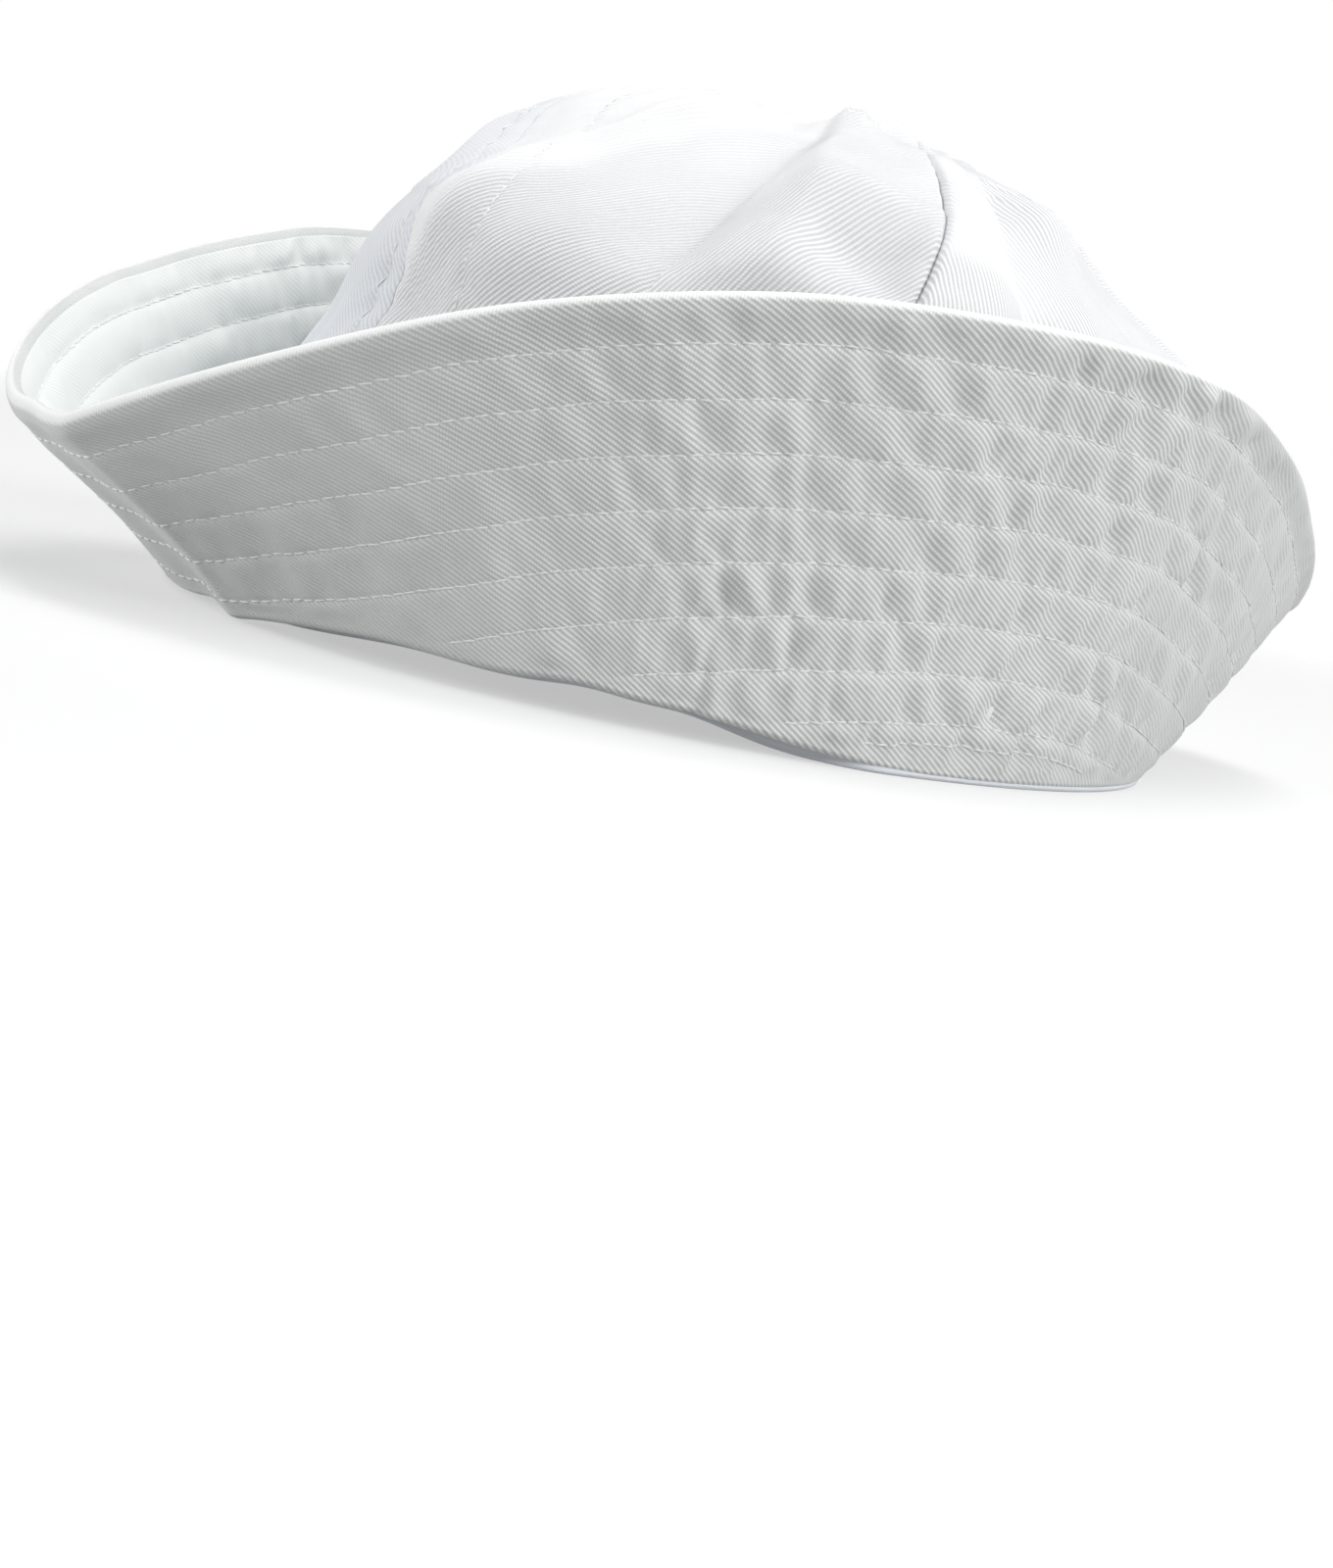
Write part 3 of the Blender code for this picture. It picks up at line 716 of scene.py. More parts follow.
stitches_out = cuff_stitches("cuff_stitching_outside", 0, 5)
stitches_in = cuff_stitches("cuff_stitching_inside", 1, 6)


# ------------------------------------------------------------------ crown shape
SECTIONS = np.array(CROWN_SECTIONS, float)
SEAM_TABLE = [np.array(row[1:9], float) for row in SEAMS]
SEAM_TABLE.append(SEAM_TABLE[0] + 360.0)

_fp = fold_line(FINE[:-1])
_angle = np.arctan2(_fp[:, 0], -(_fp[:, 1] - CENTRE_Y))
_reach = np.hypot(_fp[:, 0], _fp[:, 1] - CENTRE_Y)
_order = np.argsort(_angle)


def fold_reach(turn):
    t = (turn + math.pi) % TAU - math.pi
    return np.interp(t, _angle[_order], _reach[_order], period=TAU)


def crown_base(turn, level):
    """Plain crown at turn (radians) and level, arrays of one shape."""
    shape = np.broadcast(turn, level).shape
    turn, level = np.broadcast_to(turn, shape).ravel(), np.broadcast_to(level, shape).ravel()
    shares = np.stack([ring(row[2:], turn) for row in SECTIONS])
    out = np.zeros(len(turn))
    # evaluate the level spline one direction at a time
    coef_levels = SECTIONS[:, 0]
    i = np.clip(np.searchsorted(coef_levels, level) - 1, 0, len(coef_levels) - 2)
    h = np.diff(coef_levels)
    n = len(coef_levels)
    a = np.zeros((n, n))
    a[0, 0] = a[-1, -1] = 1.0
    b = np.zeros((n, len(turn)))
    for k in range(1, n - 1):
        a[k, k - 1], a[k, k], a[k, k + 1] = h[k - 1], 2 * (h[k - 1] + h[k]), h[k]
        b[k] = 6 * ((shares[k + 1] - shares[k]) / h[k] - (shares[k] - shares[k - 1]) / h[k - 1])
    m = np.linalg.solve(a, b)
    col = np.arange(len(turn))
    t, s, hi = coef_levels[i + 1] - level, level - coef_levels[i], h[i]
    out = (m[i, col] * t ** 3 + m[i + 1, col] * s ** 3) / (6 * hi) + \
        (shares[i, col] / hi - m[i, col] * hi / 6) * t + \
        (shares[i + 1, col] / hi - m[i + 1, col] * hi / 6) * s
    share = np.maximum(out, 0.0)
    height = spline(SECTIONS[:, 0], SECTIONS[:, 1], level)
    reach = share * (fold_reach(turn) - CROWN_INSET)
    back = CROWN_SET_BACK * np.clip(height / CROWN_HEIGHT, 0, 1.1) ** 1.5
    # the foot follows the fold where that stands off the table
    foot = fold_lift(turn) * (1 - step(height, 0.0, 30.0))
    p = np.stack([np.sin(turn) * reach, CENTRE_Y + back - np.cos(turn) * reach,
                  height + FOLD_HEIGHT + foot], -1)
    return p.reshape(shape + (3,))


def crown_normal(turn, level):
    e = 0.004
    up = crown_base(turn, np.minimum(level + e, 1.0)) - crown_base(turn, np.maximum(level - e, 0.0))
    # around the cap, measured where the section is wide enough
    side = crown_base(turn + 0.02, np.minimum(level, 0.985)) - crown_base(turn - 0.02, np.minimum(level, 0.985))
    n = unit(np.cross(side, up))
    tip = step(level, 0.955, 1.0)[..., None]
    return unit(n * (1 - tip) + np.array([0.0, 0.05, 1.0]) * tip)


def seam_turn(index, level):
    return np.radians(spline_flat(SEAM_LEVELS, SEAM_TABLE[index], level))


def spline_flat(xs, ys, x):
    return spline(np.asarray(xs), np.asarray(ys), x)


def polyline(knots, count=70):
    k = np.array(knots, float)
    d = np.concatenate([[0], np.cumsum(np.hypot(np.diff(k[:, 0]) * 1.2, np.diff(k[:, 1]) * 150))])
    x = np.linspace(0, d[-1], count)
    return np.radians(spline(d, k[:, 0], x)), spline(d, k[:, 1], x), x / d[-1]


def distance_to(points, line):
    """Nearest distance from points (n,3) to a line of points, and where along it."""
    best = np.full(len(points), 1e9)
    where = np.zeros(len(points), int)
    for start in range(0, len(points), 20000):
        block = points[start:start + 20000]
        d = ((block[:, None, :] - line[None]) ** 2).sum(-1)
        i = d.argmin(1)
        where[start:start + 20000] = i
        best[start:start + 20000] = np.sqrt(d[np.arange(len(block)), i])
    return best, where


def line_of(knots):
    turn, level, share = polyline(knots)
    return crown_base(turn, level), turn, share


FOLD_LINES = [(row, line_of(row[5])) for row in FOLDS]
crown_slack = Ripple(71, TAU, TAU / 9, TAU / 3, 0.5, 1.2, 16)
crown_small = Ripple(73, TAU, TAU / 40, TAU / 16, 0.16, 0.5, 26)
stitch_pull = Ripple(79, 1000.0, 4.5, 8.0, 20.0, 60.0, 20)

# topstitched rows of the crown: seam they follow and how far from it, mm
TOPSTITCH = (
    # name, seam index, offset at levels 0.0, 0.5, 0.62, 1.0, pulled in
    ("front_fell",   0,  -6.0, -6.5, -8.0, -5.0, 0.20),
    ("front_outer",  0,  18.5, 19.5, 18.5, 13.0, 0.15),
)


def local_reach(turn, level):
    p = crown_base(turn, level)
    height = spline(SECTIONS[:, 0], SECTIONS[:, 1], level)
    back = CROWN_SET_BACK * np.clip(height / CROWN_HEIGHT, 0, 1.1) ** 1.5
    return np.maximum(np.hypot(p[..., 0], p[..., 1] - CENTRE_Y - back), 0.5)


def topstitch_turn(row, level):
    name, seam, o0, o5, o6, o1, pull = row
    off = np.interp(level, (0.0, 0.5, 0.62, 1.0), (o0, o5, o6, o1))
    centre = seam_turn(seam, level)
    return centre + off / np.maximum(local_reach(centre, level), 6.0)


def crown_relief(turn, level):
    """How far the crown's cloth stands off its plain shape, in mm."""
    shape = turn.shape
    turn, level = turn.ravel(), level.ravel()
    here = crown_base(turn, level)
    reach = local_reach(turn, level)
    total = 0.5 * crown_slack(turn, level) * step(level, 0.1, 0.4) * (1 - step(level, 0.93, 1.0))
    total -= 0.8 * step(level, 0.25, 0.6)
    total += 0.16 * crown_small(turn, level) * step(level, 0.1, 0.3) * (1 - step(level, 0.9, 0.99))
    for row, (line, line_turn, share) in FOLD_LINES:
        name, height, reach_a, reach_b, soft, knots = row
        d, i = distance_to(here, line)
        side = (turn - line_turn[i] + math.pi) % TAU - math.pi
        fall = np.where(side < 0, reach_a, reach_b)
        ends = step(share[i], -0.02, 0.28) * (1 - step(share[i], 0.86, 1.04))
        total += height * ends * np.exp(-(np.sqrt(d * d + soft * soft) - soft) / fall)
    for name, t0, l0, wide, tall, height in SWELLS:
        centre = crown_base(np.array([math.radians(t0)]), np.array([l0]))[0]
        off = (turn - math.radians(t0) + math.pi) % TAU - math.pi
        across = off * reach
        dist2 = ((here - centre) ** 2).sum(-1)
        up2 = np.maximum(dist2 - across ** 2, 0)
        total += height * np.exp(-(across / wide) ** 2 / 2 - up2 / (2 * tall * tall)) * (np.abs(off) < 1.6)
    for index in range(6):
        name, depth, wide = SEAMS[index][0], SEAMS[index][9], SEAMS[index][10]
        off = (turn - seam_turn(index, level) + math.pi) % TAU - math.pi
        d = off * reach
        near = np.abs(off) < 1.0
        # two or three plies beside the seam make it stand up, the seam itself sinks
        band = 0.45 * np.exp(-(np.abs(d) / 5.0) ** 4)
        cut = depth * np.exp(-(np.sqrt(d * d + 0.02) / wide) ** 1.3)
        draw = 0.12 * stitch_pull(level * 150, d) * np.exp(-(d / 6.0) ** 2) * (1 - step(level, 0.76, 0.86))
        total += np.where(near, band - cut + draw, 0) * (1 - step(level, 0.86, 0.96))
    for row in TOPSTITCH:
        off = (turn - topstitch_turn(row, level) + math.pi) % TAU - math.pi
        d = off * reach
        near = np.abs(off) < 1.0
        pull = row[6]
        dip = 0.28 * np.exp(-(d / 0.55) ** 2)
        gather = pull * stitch_pull(level * 150 + 0.5 * np.abs(d), d * 0.6 + 40 * row[1]) * \
            np.exp(-(d / 3.4) ** 2)
        total += np.where(near, gather - dip, 0) * (1 - step(level, 0.93, 1.0))
    return total.reshape(shape)


def crown_point(turn, level):
    # the foot stays out of the cuff and on the hem
    hold = step(level, 0.03, 0.22)
    return crown_base(turn, level) + crown_normal(turn, level) * (crown_relief(turn, level) * hold)[..., None]


def warp_levels(count):
    """Levels from foot to top, closer together where the crown turns over."""
    x = np.linspace(0, 1, count)
    return CROWN_FOOT + (1 - CROWN_FOOT) * (x - 0.05 * np.sin(TAU * x) / 1.0 * 0.5)


def flat_pattern(grid):
    """Lay a gore out flat from its middle line: rows of (across, up) in mm."""
    rows, cols = grid.shape[:2]
    mid = cols // 2
    across, up = np.gradient(grid, axis=1), np.gradient(grid, axis=0)
    normal = unit(np.cross(across, up))
    seg = np.diff(grid, axis=1)
    length = np.linalg.norm(seg, axis=-1)
    way = unit(seg)
    bend = np.zeros((rows, cols - 1))
    bend[:, 1:] = (np.cross(way[:, :-1], way[:, 1:]) * normal[:, 1:-1]).sum(-1)
    heading = np.cumsum(bend, axis=1)
    lean = (unit(up[:, mid]) * unit(across[:, mid])).sum(-1)
    heading += (np.arcsin(np.clip(lean, -0.9, 0.9)) - heading[:, mid])[:, None]
    step_xy = length[..., None] * np.stack([np.cos(heading), np.sin(heading)], -1)
    flat = np.zeros((rows, cols, 2))
    flat[:, 1:] = np.cumsum(step_xy, axis=1)
    flat -= flat[:, mid:mid + 1].copy()
    rise = np.concatenate([[0], np.cumsum(np.linalg.norm(np.diff(grid[:, mid], axis=0), axis=1))])
    flat[..., 1] += rise[:, None]
    return flat


# a crease where the cloth is pinched: its turn at each level, the share of the
# gore's columns before it, and how far the ribs swing beyond it
PINCH_LEVELS = (0.0, 0.43, 0.62, 0.74, 0.80, 0.87, 0.95, 1.0)
PINCH_TURNS = (40.0, 40.0, 40.0, 40.3, 40.0, 38.5, 36.0, 36.0)
PINCH_SHARE = 0.6
PINCH_SWING = 20.0


def build_gore(name, first, second, grain):
    cols, rows = ((101, 124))
    level = warp_levels(rows)
    x = np.linspace(0, 1, cols)
    # columns gathered at both seams
    x = x - 0.55 * np.sin(TAU * x) / TAU
    L = np.repeat(level[:, None], cols, 1)
    a, b = seam_turn(first % 6, level) + (TAU if first == 6 else 0), \
        np.radians(spline_flat(SEAM_LEVELS, SEAM_TABLE[second], level))
    T = a[:, None] + (b - a)[:, None] * x[None, :]
    crease = int(round(PINCH_SHARE * (cols - 1)))
    if first == 0:
        pinch = np.radians(np.interp(level, PINCH_LEVELS, PINCH_TURNS))
        at = x[crease]
        T = np.where(x[None, :] < at, a[:, None] + (pinch - a)[:, None] * (x / at)[None, :],
                     pinch[:, None] + (b - pinch)[:, None] * ((x - at) / (1 - at))[None, :])
    P = crown_point(T, L)
    P[-1] = crown_point(np.array([a[-1]]), np.array([1.0]))[0] * 0 + APEX
    flat = flat_pattern(crown_base(T, np.minimum(L, 0.995))).reshape(-1, 2)

    def swung(points, degrees):
        g = math.radians(degrees)
        return np.stack([points[:, 0] * math.cos(g) - points[:, 1] * math.sin(g),
                         points[:, 0] * math.sin(g) + points[:, 1] * math.cos(g)], -1)

    # lay it on the cloth so that the ribs run as they should
    faces = grid_faces(rows, cols, False)
    uv = swung(flat, CROWN_RIB_ANGLE - grain)[faces]
    if first == 0:
        beyond = np.tile(np.arange(cols - 1) >= crease, rows - 1)
        pivot = flat.reshape(rows, cols, 2)[rows // 2, crease]
        other = swung(flat - pivot, -PINCH_SWING) + pivot
        uv[beyond] = other[faces][beyond]
    obj = add_mesh(name, P, faces[:, ::-1], uv[:, ::-1])
    # where each corner lies on the gore itself: across from its middle, up from its foot
    layer = obj.data.uv_layers.new(name="plain")
    plain = flat.reshape(rows, cols, 2).copy()
    if first == 0:
        # beyond the crease the painted highlight at the gore's top also begins further up
        plain[:, crease:, 1] -= 14.0      # beyond the crease the ribs stay crisp further up
    layer.data.foreach_set("uv", plain.reshape(-1, 2)[faces][:, ::-1].reshape(-1, 2).astype(np.float64).ravel())
    return obj


APEX = crown_base(np.array([0.0]), np.array([1.0]))[0] + \
    np.array([0.0, 0.05, 1.0]) * crown_relief(np.array([0.5]), np.array([0.999]))[0]

gore_pieces = []
for piece_name, node, first, second, grain, ribbing in GORES:
    obj = build_gore(piece_name, first, second, grain)
    mod = obj.modifiers.new("cloth", "SOLIDIFY")
    mod.thickness = 0.7 * MM
    mod.offset = -1.0
    mod.use_even_offset = False
    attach(obj, "root")
    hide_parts(node)
    gore_pieces.append(obj)


def crown_stitches():
    centres, along, normal = [], [], []
    rng = np.random.RandomState(8)
    for row in TOPSTITCH:
        level = np.linspace(0.10, 0.955, 900)
        turn = topstitch_turn(row, level)
        p = crown_point(turn, level)
        d = np.concatenate([[0], np.cumsum(np.linalg.norm(np.diff(p, axis=0), axis=1))])
        n = int(d[-1] / 2.9)
        at = (np.arange(n) + 0.5) * d[-1] / n
        lv = np.interp(at, d, level)
        tn = topstitch_turn(row, lv)
        c = crown_point(tn, lv)
        lv2 = lv + 0.004
        c2 = crown_point(topstitch_turn(row, lv2), lv2)
        centres.append(c + crown_normal(tn, lv) * 0.10)
        along.append(c2 - c)
        normal.append(crown_normal(tn, lv))
    return stitch_mesh("crown_topstitching", np.concatenate(centres), np.concatenate(along),
                       np.concatenate(normal), 2.3, 0.17, 9)


stitches_crown = crown_stitches()


# ------------------------------------------------------------------ sweatband
def build_band():
    n = 480
    r = np.linspace(0, RIM_LENGTH, n, endpoint=False)
    turn = turn_at(r)
    fold = fold_line(turn)
    polar = np.arctan2(fold[:, 0], -(fold[:, 1] - CENTRE_Y))
    spoke = np.stack([np.sin(polar), -np.cos(polar)], -1)
    reach = fold_reach(polar)
    # the hem peeps out at the wearer's left and back, and hides at the front
    off = (turn - math.radians(118) + math.pi) % TAU - math.pi
    peep = step(off, -1.02, -0.60) * (1 - step(off, 0.9, 1.3))
    flush = step(off, -0.72, -0.55)
    lift = fold_lift(turn)
    raised = 0.9 * lift * (1 - peep)
    outer = 7.5 - 4.6 * peep - 2.4 * peep * flush
    ripple = 0.18 * np.sin(r * 0.19) + 0.12 * np.sin(r * 0.43 + 1)
    grid = []

    def at(inset, z):
        q = np.array([0.0, CENTRE_Y]) + spoke * (reach - inset)[:, None]
        grid.append(np.concatenate([q, np.broadcast_to(z + raised, (n,))[:, None]], 1))

    top = 1.15 + 0.35 * peep + 0.8 * lift * peep
    at(outer + 1.6, 1.25 + 0.8 * lift * peep)
    at(outer + 0.5, top)
    at(outer + 0.10, top - 0.35 + 0.1 * ripple)
    at(outer, 0.65)
    at(outer + 0.12, 0.28)
    at(outer + 0.5, 0.02)
    at(outer + 2.5, 0.0)
    at(np.full(n, 10.2), 0.0)
    at(np.full(n, 10.6), 0.35)
    at(np.full(n, 10.3), 1.0)
    at(np.full(n, 9.2), 1.5)

    def inside(z, clear):
        lv = np.interp(z - FOLD_HEIGHT, SECTIONS[:, 1], SECTIONS[:, 0])
        p = crown_base(polar, np.full(n, max(lv, 0.001)))
        height = max(z - FOLD_HEIGHT, 0.0)
        back = CROWN_SET_BACK * np.clip(height / CROWN_HEIGHT, 0, 1.1) ** 1.5
        c = np.array([0.0, CENTRE_Y + back])
        q = p[:, :2] - c
        q *= (1 - clear / np.linalg.norm(q, axis=1))[:, None]
        grid.append(np.concatenate([c + q, (z + raised)[:, None]], 1))

    for z, clear in ((3.0, 3.6), (8.0, 3.4), (15.0, 3.4), (22.0, 3.4), (28.0, 3.4), (30.2, 3.2), (31.0, 2.6),
                     (30.2, 2.0), (28.0, 1.8), (15.0, 1.8), (4.0, 2.0)):
        inside(z, clear)
    grid = np.array(grid)
    v = np.concatenate([[0], np.cumsum(np.linalg.norm(np.diff(grid, axis=0), axis=2).mean(1))])
    return closed_grid("sweatband_hem", grid, r, v, flip=True)


band = build_band()


# ------------------------------------------------------------------ materials
def twill(name, pale, dark, rib, angle, across, strength, tint_scale=22.0, sheen=0.25, fade=(),
          fade_layer=None, rim_wear_and_painted_highlight=None):
    """Woven twill: slanting ribs, fine yarns across them, soft cloudy variation; where given, painted light or shade
    over parts of the piece and a painted highlight along a folded edge.
    """
    mat = bpy.data.materials.new(name)
    mat.use_nodes = True
    tree = mat.node_tree
    nodes, links = tree.nodes, tree.links
    shader = nodes["Principled BSDF"]
    uv = nodes.new("ShaderNodeUVMap")
    uv.uv_map = "UVMap"
    sep = nodes.new("ShaderNodeSeparateXYZ")
    links.new(uv.outputs["UV"], sep.inputs[0])

    def math_node(kind, a, b=None, c=None):
        n = nodes.new("ShaderNodeMath")
        n.operation = kind
        for i, value in enumerate((a, b, c)):
            if value is None:
                continue
            if hasattr(value, "links"):
                links.new(value, n.inputs[i])
            else:
                n.inputs[i].default_value = value
        return n.outputs[0]

    x, y = sep.outputs[0], sep.outputs[1]
    wobble = nodes.new("ShaderNodeTexNoise")
    wobble.inputs["Scale"].default_value = 0.05
    wobble.inputs["Detail"].default_value = 1.0
    links.new(uv.outputs["UV"], wobble.inputs["Vector"])
    ca, sa = math.cos(math.radians(angle)), math.sin(math.radians(angle))
    # distance across the ribs, in ribs
    a = math_node("MULTIPLY", x, -sa / rib)
    a = math_node("MULTIPLY_ADD", y, ca / rib, a)
    w = math_node("MULTIPLY_ADD", wobble.outputs[0], 0.9, a)
    wave = math_node("SINE", math_node("MULTIPLY", w, TAU))
    ribs = math_node("POWER", math_node("MULTIPLY_ADD", wave, 0.5, 0.5), 1.3)
    # yarns along the ribs, each rib out of step with the next
    t = math_node("MULTIPLY", x, ca / across)
    t = math_node("MULTIPLY_ADD", y, sa / across, t)
    t = math_node("MULTIPLY_ADD", w, 0.5, t)
    yarn = math_node("MULTIPLY_ADD", math_node("SINE", math_node("MULTIPLY", t, TAU)), 0.5, 0.5)
    fuzz = nodes.new("ShaderNodeTexNoise")
    fuzz.inputs["Scale"].default_value = 2.6
    fuzz.inputs["Detail"].default_value = 3.0
    links.new(uv.outputs["UV"], fuzz.inputs["Vector"])
    height = math_node("MULTIPLY_ADD", yarn, 0.22, ribs)
    height = math_node("MULTIPLY_ADD", fuzz.outputs[0], 0.45, height)
    bump = nodes.new("ShaderNodeBump")
    bump.inputs["Strength"].default_value = strength
    bump.inputs["Distance"].default_value = 0.00016
    links.new(height, bump.inputs["Height"])
    links.new(bump.outputs[0], shader.inputs["Normal"])
    cloud = nodes.new("ShaderNodeTexNoise")
    cloud.inputs["Scale"].default_value = 1.0 / tint_scale
    cloud.inputs["Detail"].default_value = 2.0
    links.new(uv.outputs["UV"], cloud.inputs["Vector"])
    fade_x, fade_y = x, y
    if fade_layer:
        placed = nodes.new("ShaderNodeUVMap")
        placed.uv_map = fade_layer
        split = nodes.new("ShaderNodeSeparateXYZ")
        links.new(placed.outputs["UV"], split.inputs[0])
        fade_x, fade_y = split.outputs[0], split.outputs[1]
    for part in fade:
        # towards one end of the piece the ribs are flattened and their colour is shifted, painted light or shade:
        # direction x, y, from, to, how flat, tone
        flatter = nodes.new("ShaderNodeMapRange")
        flatter.interpolation_type = "SMOOTHSTEP"
        flatter.inputs["From Min"].default_value = part[2]
        flatter.inputs["From Max"].default_value = part[3]
        flatter.inputs["To Min"].default_value = 1.0
        flatter.inputs["To Max"].default_value = part[4]
        links.new(math_node("MULTIPLY_ADD", fade_x, part[0], math_node("MULTIPLY", fade_y, part[1])), flatter.inputs["Value"])
        amount = flatter.outputs[0]
        if len(part) > 6:
            # and not past a second line across the piece: direction x, y, from, to
            within = nodes.new("ShaderNodeMapRange")
            within.interpolation_type = "SMOOTHSTEP"
            within.inputs["From Min"].default_value = part[8]
            within.inputs["From Max"].default_value = part[9]
            within.inputs["To Min"].default_value = 1.0
            within.inputs["To Max"].default_value = 0.0
            links.new(math_node("MULTIPLY_ADD", fade_x, part[6], math_node("MULTIPLY", fade_y, part[7])), within.inputs["Value"])
            amount = math_node("MULTIPLY_ADD", math_node("SUBTRACT", amount, 1.0), within.outputs[0], 1.0)
        ribs = math_node("MULTIPLY_ADD", math_node("SUBTRACT", ribs, 0.5 + part[5]), amount, 0.5 + part[5])
        height = math_node("MULTIPLY_ADD", math_node("SUBTRACT", height, 0.5), amount, 0.5)
        links.new(height, bump.inputs["Height"])
    if rim_wear_and_painted_highlight:
        # along the folded edge the ribs are worn smooth, and the colour is painted pale: a painted highlight on the
        # crest that fades where the edge turns inward
        along = nodes.new("ShaderNodeUVMap")
        along.uv_map = "along"
        parts = nodes.new("ShaderNodeSeparateXYZ")
        links.new(along.outputs["UV"], parts.inputs[0])
        edge_wear_and_painted_highlight = nodes.new("ShaderNodeMapRange")
        edge_wear_and_painted_highlight.interpolation_type = "SMOOTHSTEP"
        edge_wear_and_painted_highlight.inputs["From Min"].default_value = rim_wear_and_painted_highlight[0]
        edge_wear_and_painted_highlight.inputs["From Max"].default_value = rim_wear_and_painted_highlight[1]
        edge_wear_and_painted_highlight.inputs["To Min"].default_value = 1.0
        edge_wear_and_painted_highlight.inputs["To Max"].default_value = 0.0
        links.new(parts.outputs[1], edge_wear_and_painted_highlight.inputs["Value"])
        turned = nodes.new("ShaderNodeMapRange")
        turned.inputs["From Min"].default_value = -0.9
        turned.inputs["From Max"].default_value = -0.1
        turned.inputs["To Min"].default_value = 0.45
        turned.inputs["To Max"].default_value = 1.15
        links.new(parts.outputs[1], turned.inputs["Value"])
        # above the first row of stitches the ribs are painted darker: painted shade on the band between the rim and the
        # first row
        hem = nodes.new("ShaderNodeMapRange")
        hem.interpolation_type = "SMOOTHSTEP"
        hem.inputs["From Min"].default_value = 6.0
        hem.inputs["From Max"].default_value = 8.6
        hem.inputs["To Min"].default_value = -0.11
        hem.inputs["To Max"].default_value = 0.0
        links.new(parts.outputs[1], hem.inputs["Value"])
        ribs = math_node("ADD", ribs, hem.outputs[0])
        share = math_node("MULTIPLY", edge_wear_and_painted_highlight.outputs[0], 0.88)
        ribs = math_node("MULTIPLY_ADD", math_node("SUBTRACT", turned.outputs[0], ribs), share, ribs)
        links.new(math_node("MULTIPLY_ADD", math_node("SUBTRACT", 0.5, height), share, height), bump.inputs["Height"])
    broken = math_node("MULTIPLY", ribs, math_node("MULTIPLY_ADD", yarn, 0.35, 0.70))
    tone = math_node("MULTIPLY_ADD", math_node("SUBTRACT", cloud.outputs[0], 0.5), 0.35,
                     math_node("MULTIPLY_ADD", math_node("SUBTRACT", fuzz.outputs[0], 0.5), 0.5, broken))
    mix = nodes.new("ShaderNodeMix")
    mix.data_type = "RGBA"
    mix.clamp_factor = True
    mix.inputs[6].default_value = (*dark, 1)
    mix.inputs[7].default_value = (*pale, 1)
    links.new(tone, mix.inputs[0])
    links.new(mix.outputs[2], shader.inputs["Base Color"])
    shader.inputs["Roughness"].default_value = 0.82
    shader.inputs["Specular IOR Level"].default_value = 0.25
    shader.inputs["Sheen Weight"].default_value = sheen
    shader.inputs["Sheen Roughness"].default_value = 0.45
    return mat


def thread_material(name, colour):
    mat = bpy.data.materials.new(name)
    mat.use_nodes = True
    nodes, links = mat.node_tree.nodes, mat.node_tree.links
    shader = nodes["Principled BSDF"]
    coords = nodes.new("ShaderNodeTexCoord")
    noise = nodes.new("ShaderNodeTexNoise")
    noise.inputs["Scale"].default_value = 900.0
    links.new(coords.outputs["Object"], noise.inputs["Vector"])
    ramp = nodes.new("ShaderNodeValToRGB")
    ramp.color_ramp.elements[0].color = (colour[0] * 0.9, colour[1] * 0.9, colour[2] * 0.9, 1)
    ramp.color_ramp.elements[1].color = (*colour, 1)
    links.new(noise.outputs[0], ramp.inputs[0])
    links.new(ramp.outputs[0], shader.inputs["Base Color"])
    shader.inputs["Roughness"].default_value = 0.5
    shader.inputs["Sheen Weight"].default_value = 0.2
    return mat


# painted shade: towards both ends of each of the two brim pieces the ribs are flattened and painted darker; the rim
# carries a painted highlight
cuff_cloth = twill("cuff_twill", (0.905, 0.915, 0.905), (0.53, 0.545, 0.54), 0.77, -31.0, 0.55, 0.65,
                   fade=((-1.0, 0.0, 38.0, 80.0, 0.40, -0.34), (1.0, 0.0, 48.0, 90.0, 0.60, -0.08),
                         (1.0, 0.0, 72.0, 98.0, 0.75, -0.35)), rim_wear_and_painted_highlight=(1.0, 2.0))
cuff_inner_cloth = twill("cuff_twill_inner", (0.88, 0.905, 0.89), (0.80, 0.83, 0.81), 0.78, 40.0, 0.55, 0.12)
# painted highlight: towards the top of the front-left gore, and above the line of its top ridge, the ribs are flattened
# and painted paler
crown_cloth = twill("crown_twill", (0.93, 0.93, 0.935), (0.60, 0.605, 0.62), 0.80, CROWN_RIB_ANGLE, 0.5, 0.85,
                    fade=((0.0, 1.0, 62.0, 102.0, 0.35, 0.16), (-0.87, 0.5, 53.0, 58.0, 0.50, 0.54)), fade_layer="plain")
crown_cloth_soft = twill("crown_twill_soft", (0.93, 0.93, 0.94), (0.655, 0.66, 0.68), 0.80, CROWN_RIB_ANGLE, 0.5, 0.5)
# painted highlight: a paler copy of the crown cloth whose ribs are flattened and painted paler towards its seam with
# the front-left gore, short of the foot
crown_cloth_left_painted_highlight = twill("crown_twill_left_painted_highlight", (0.945, 0.945, 0.95), (0.615, 0.62, 0.64), 0.80, CROWN_RIB_ANGLE, 0.5, 0.45,
                         fade=((-1.0, 0.0, 5.0, 22.0, 0.40, 0.46, 0.0, -1.0, -76.0, -71.0),), fade_layer="plain")
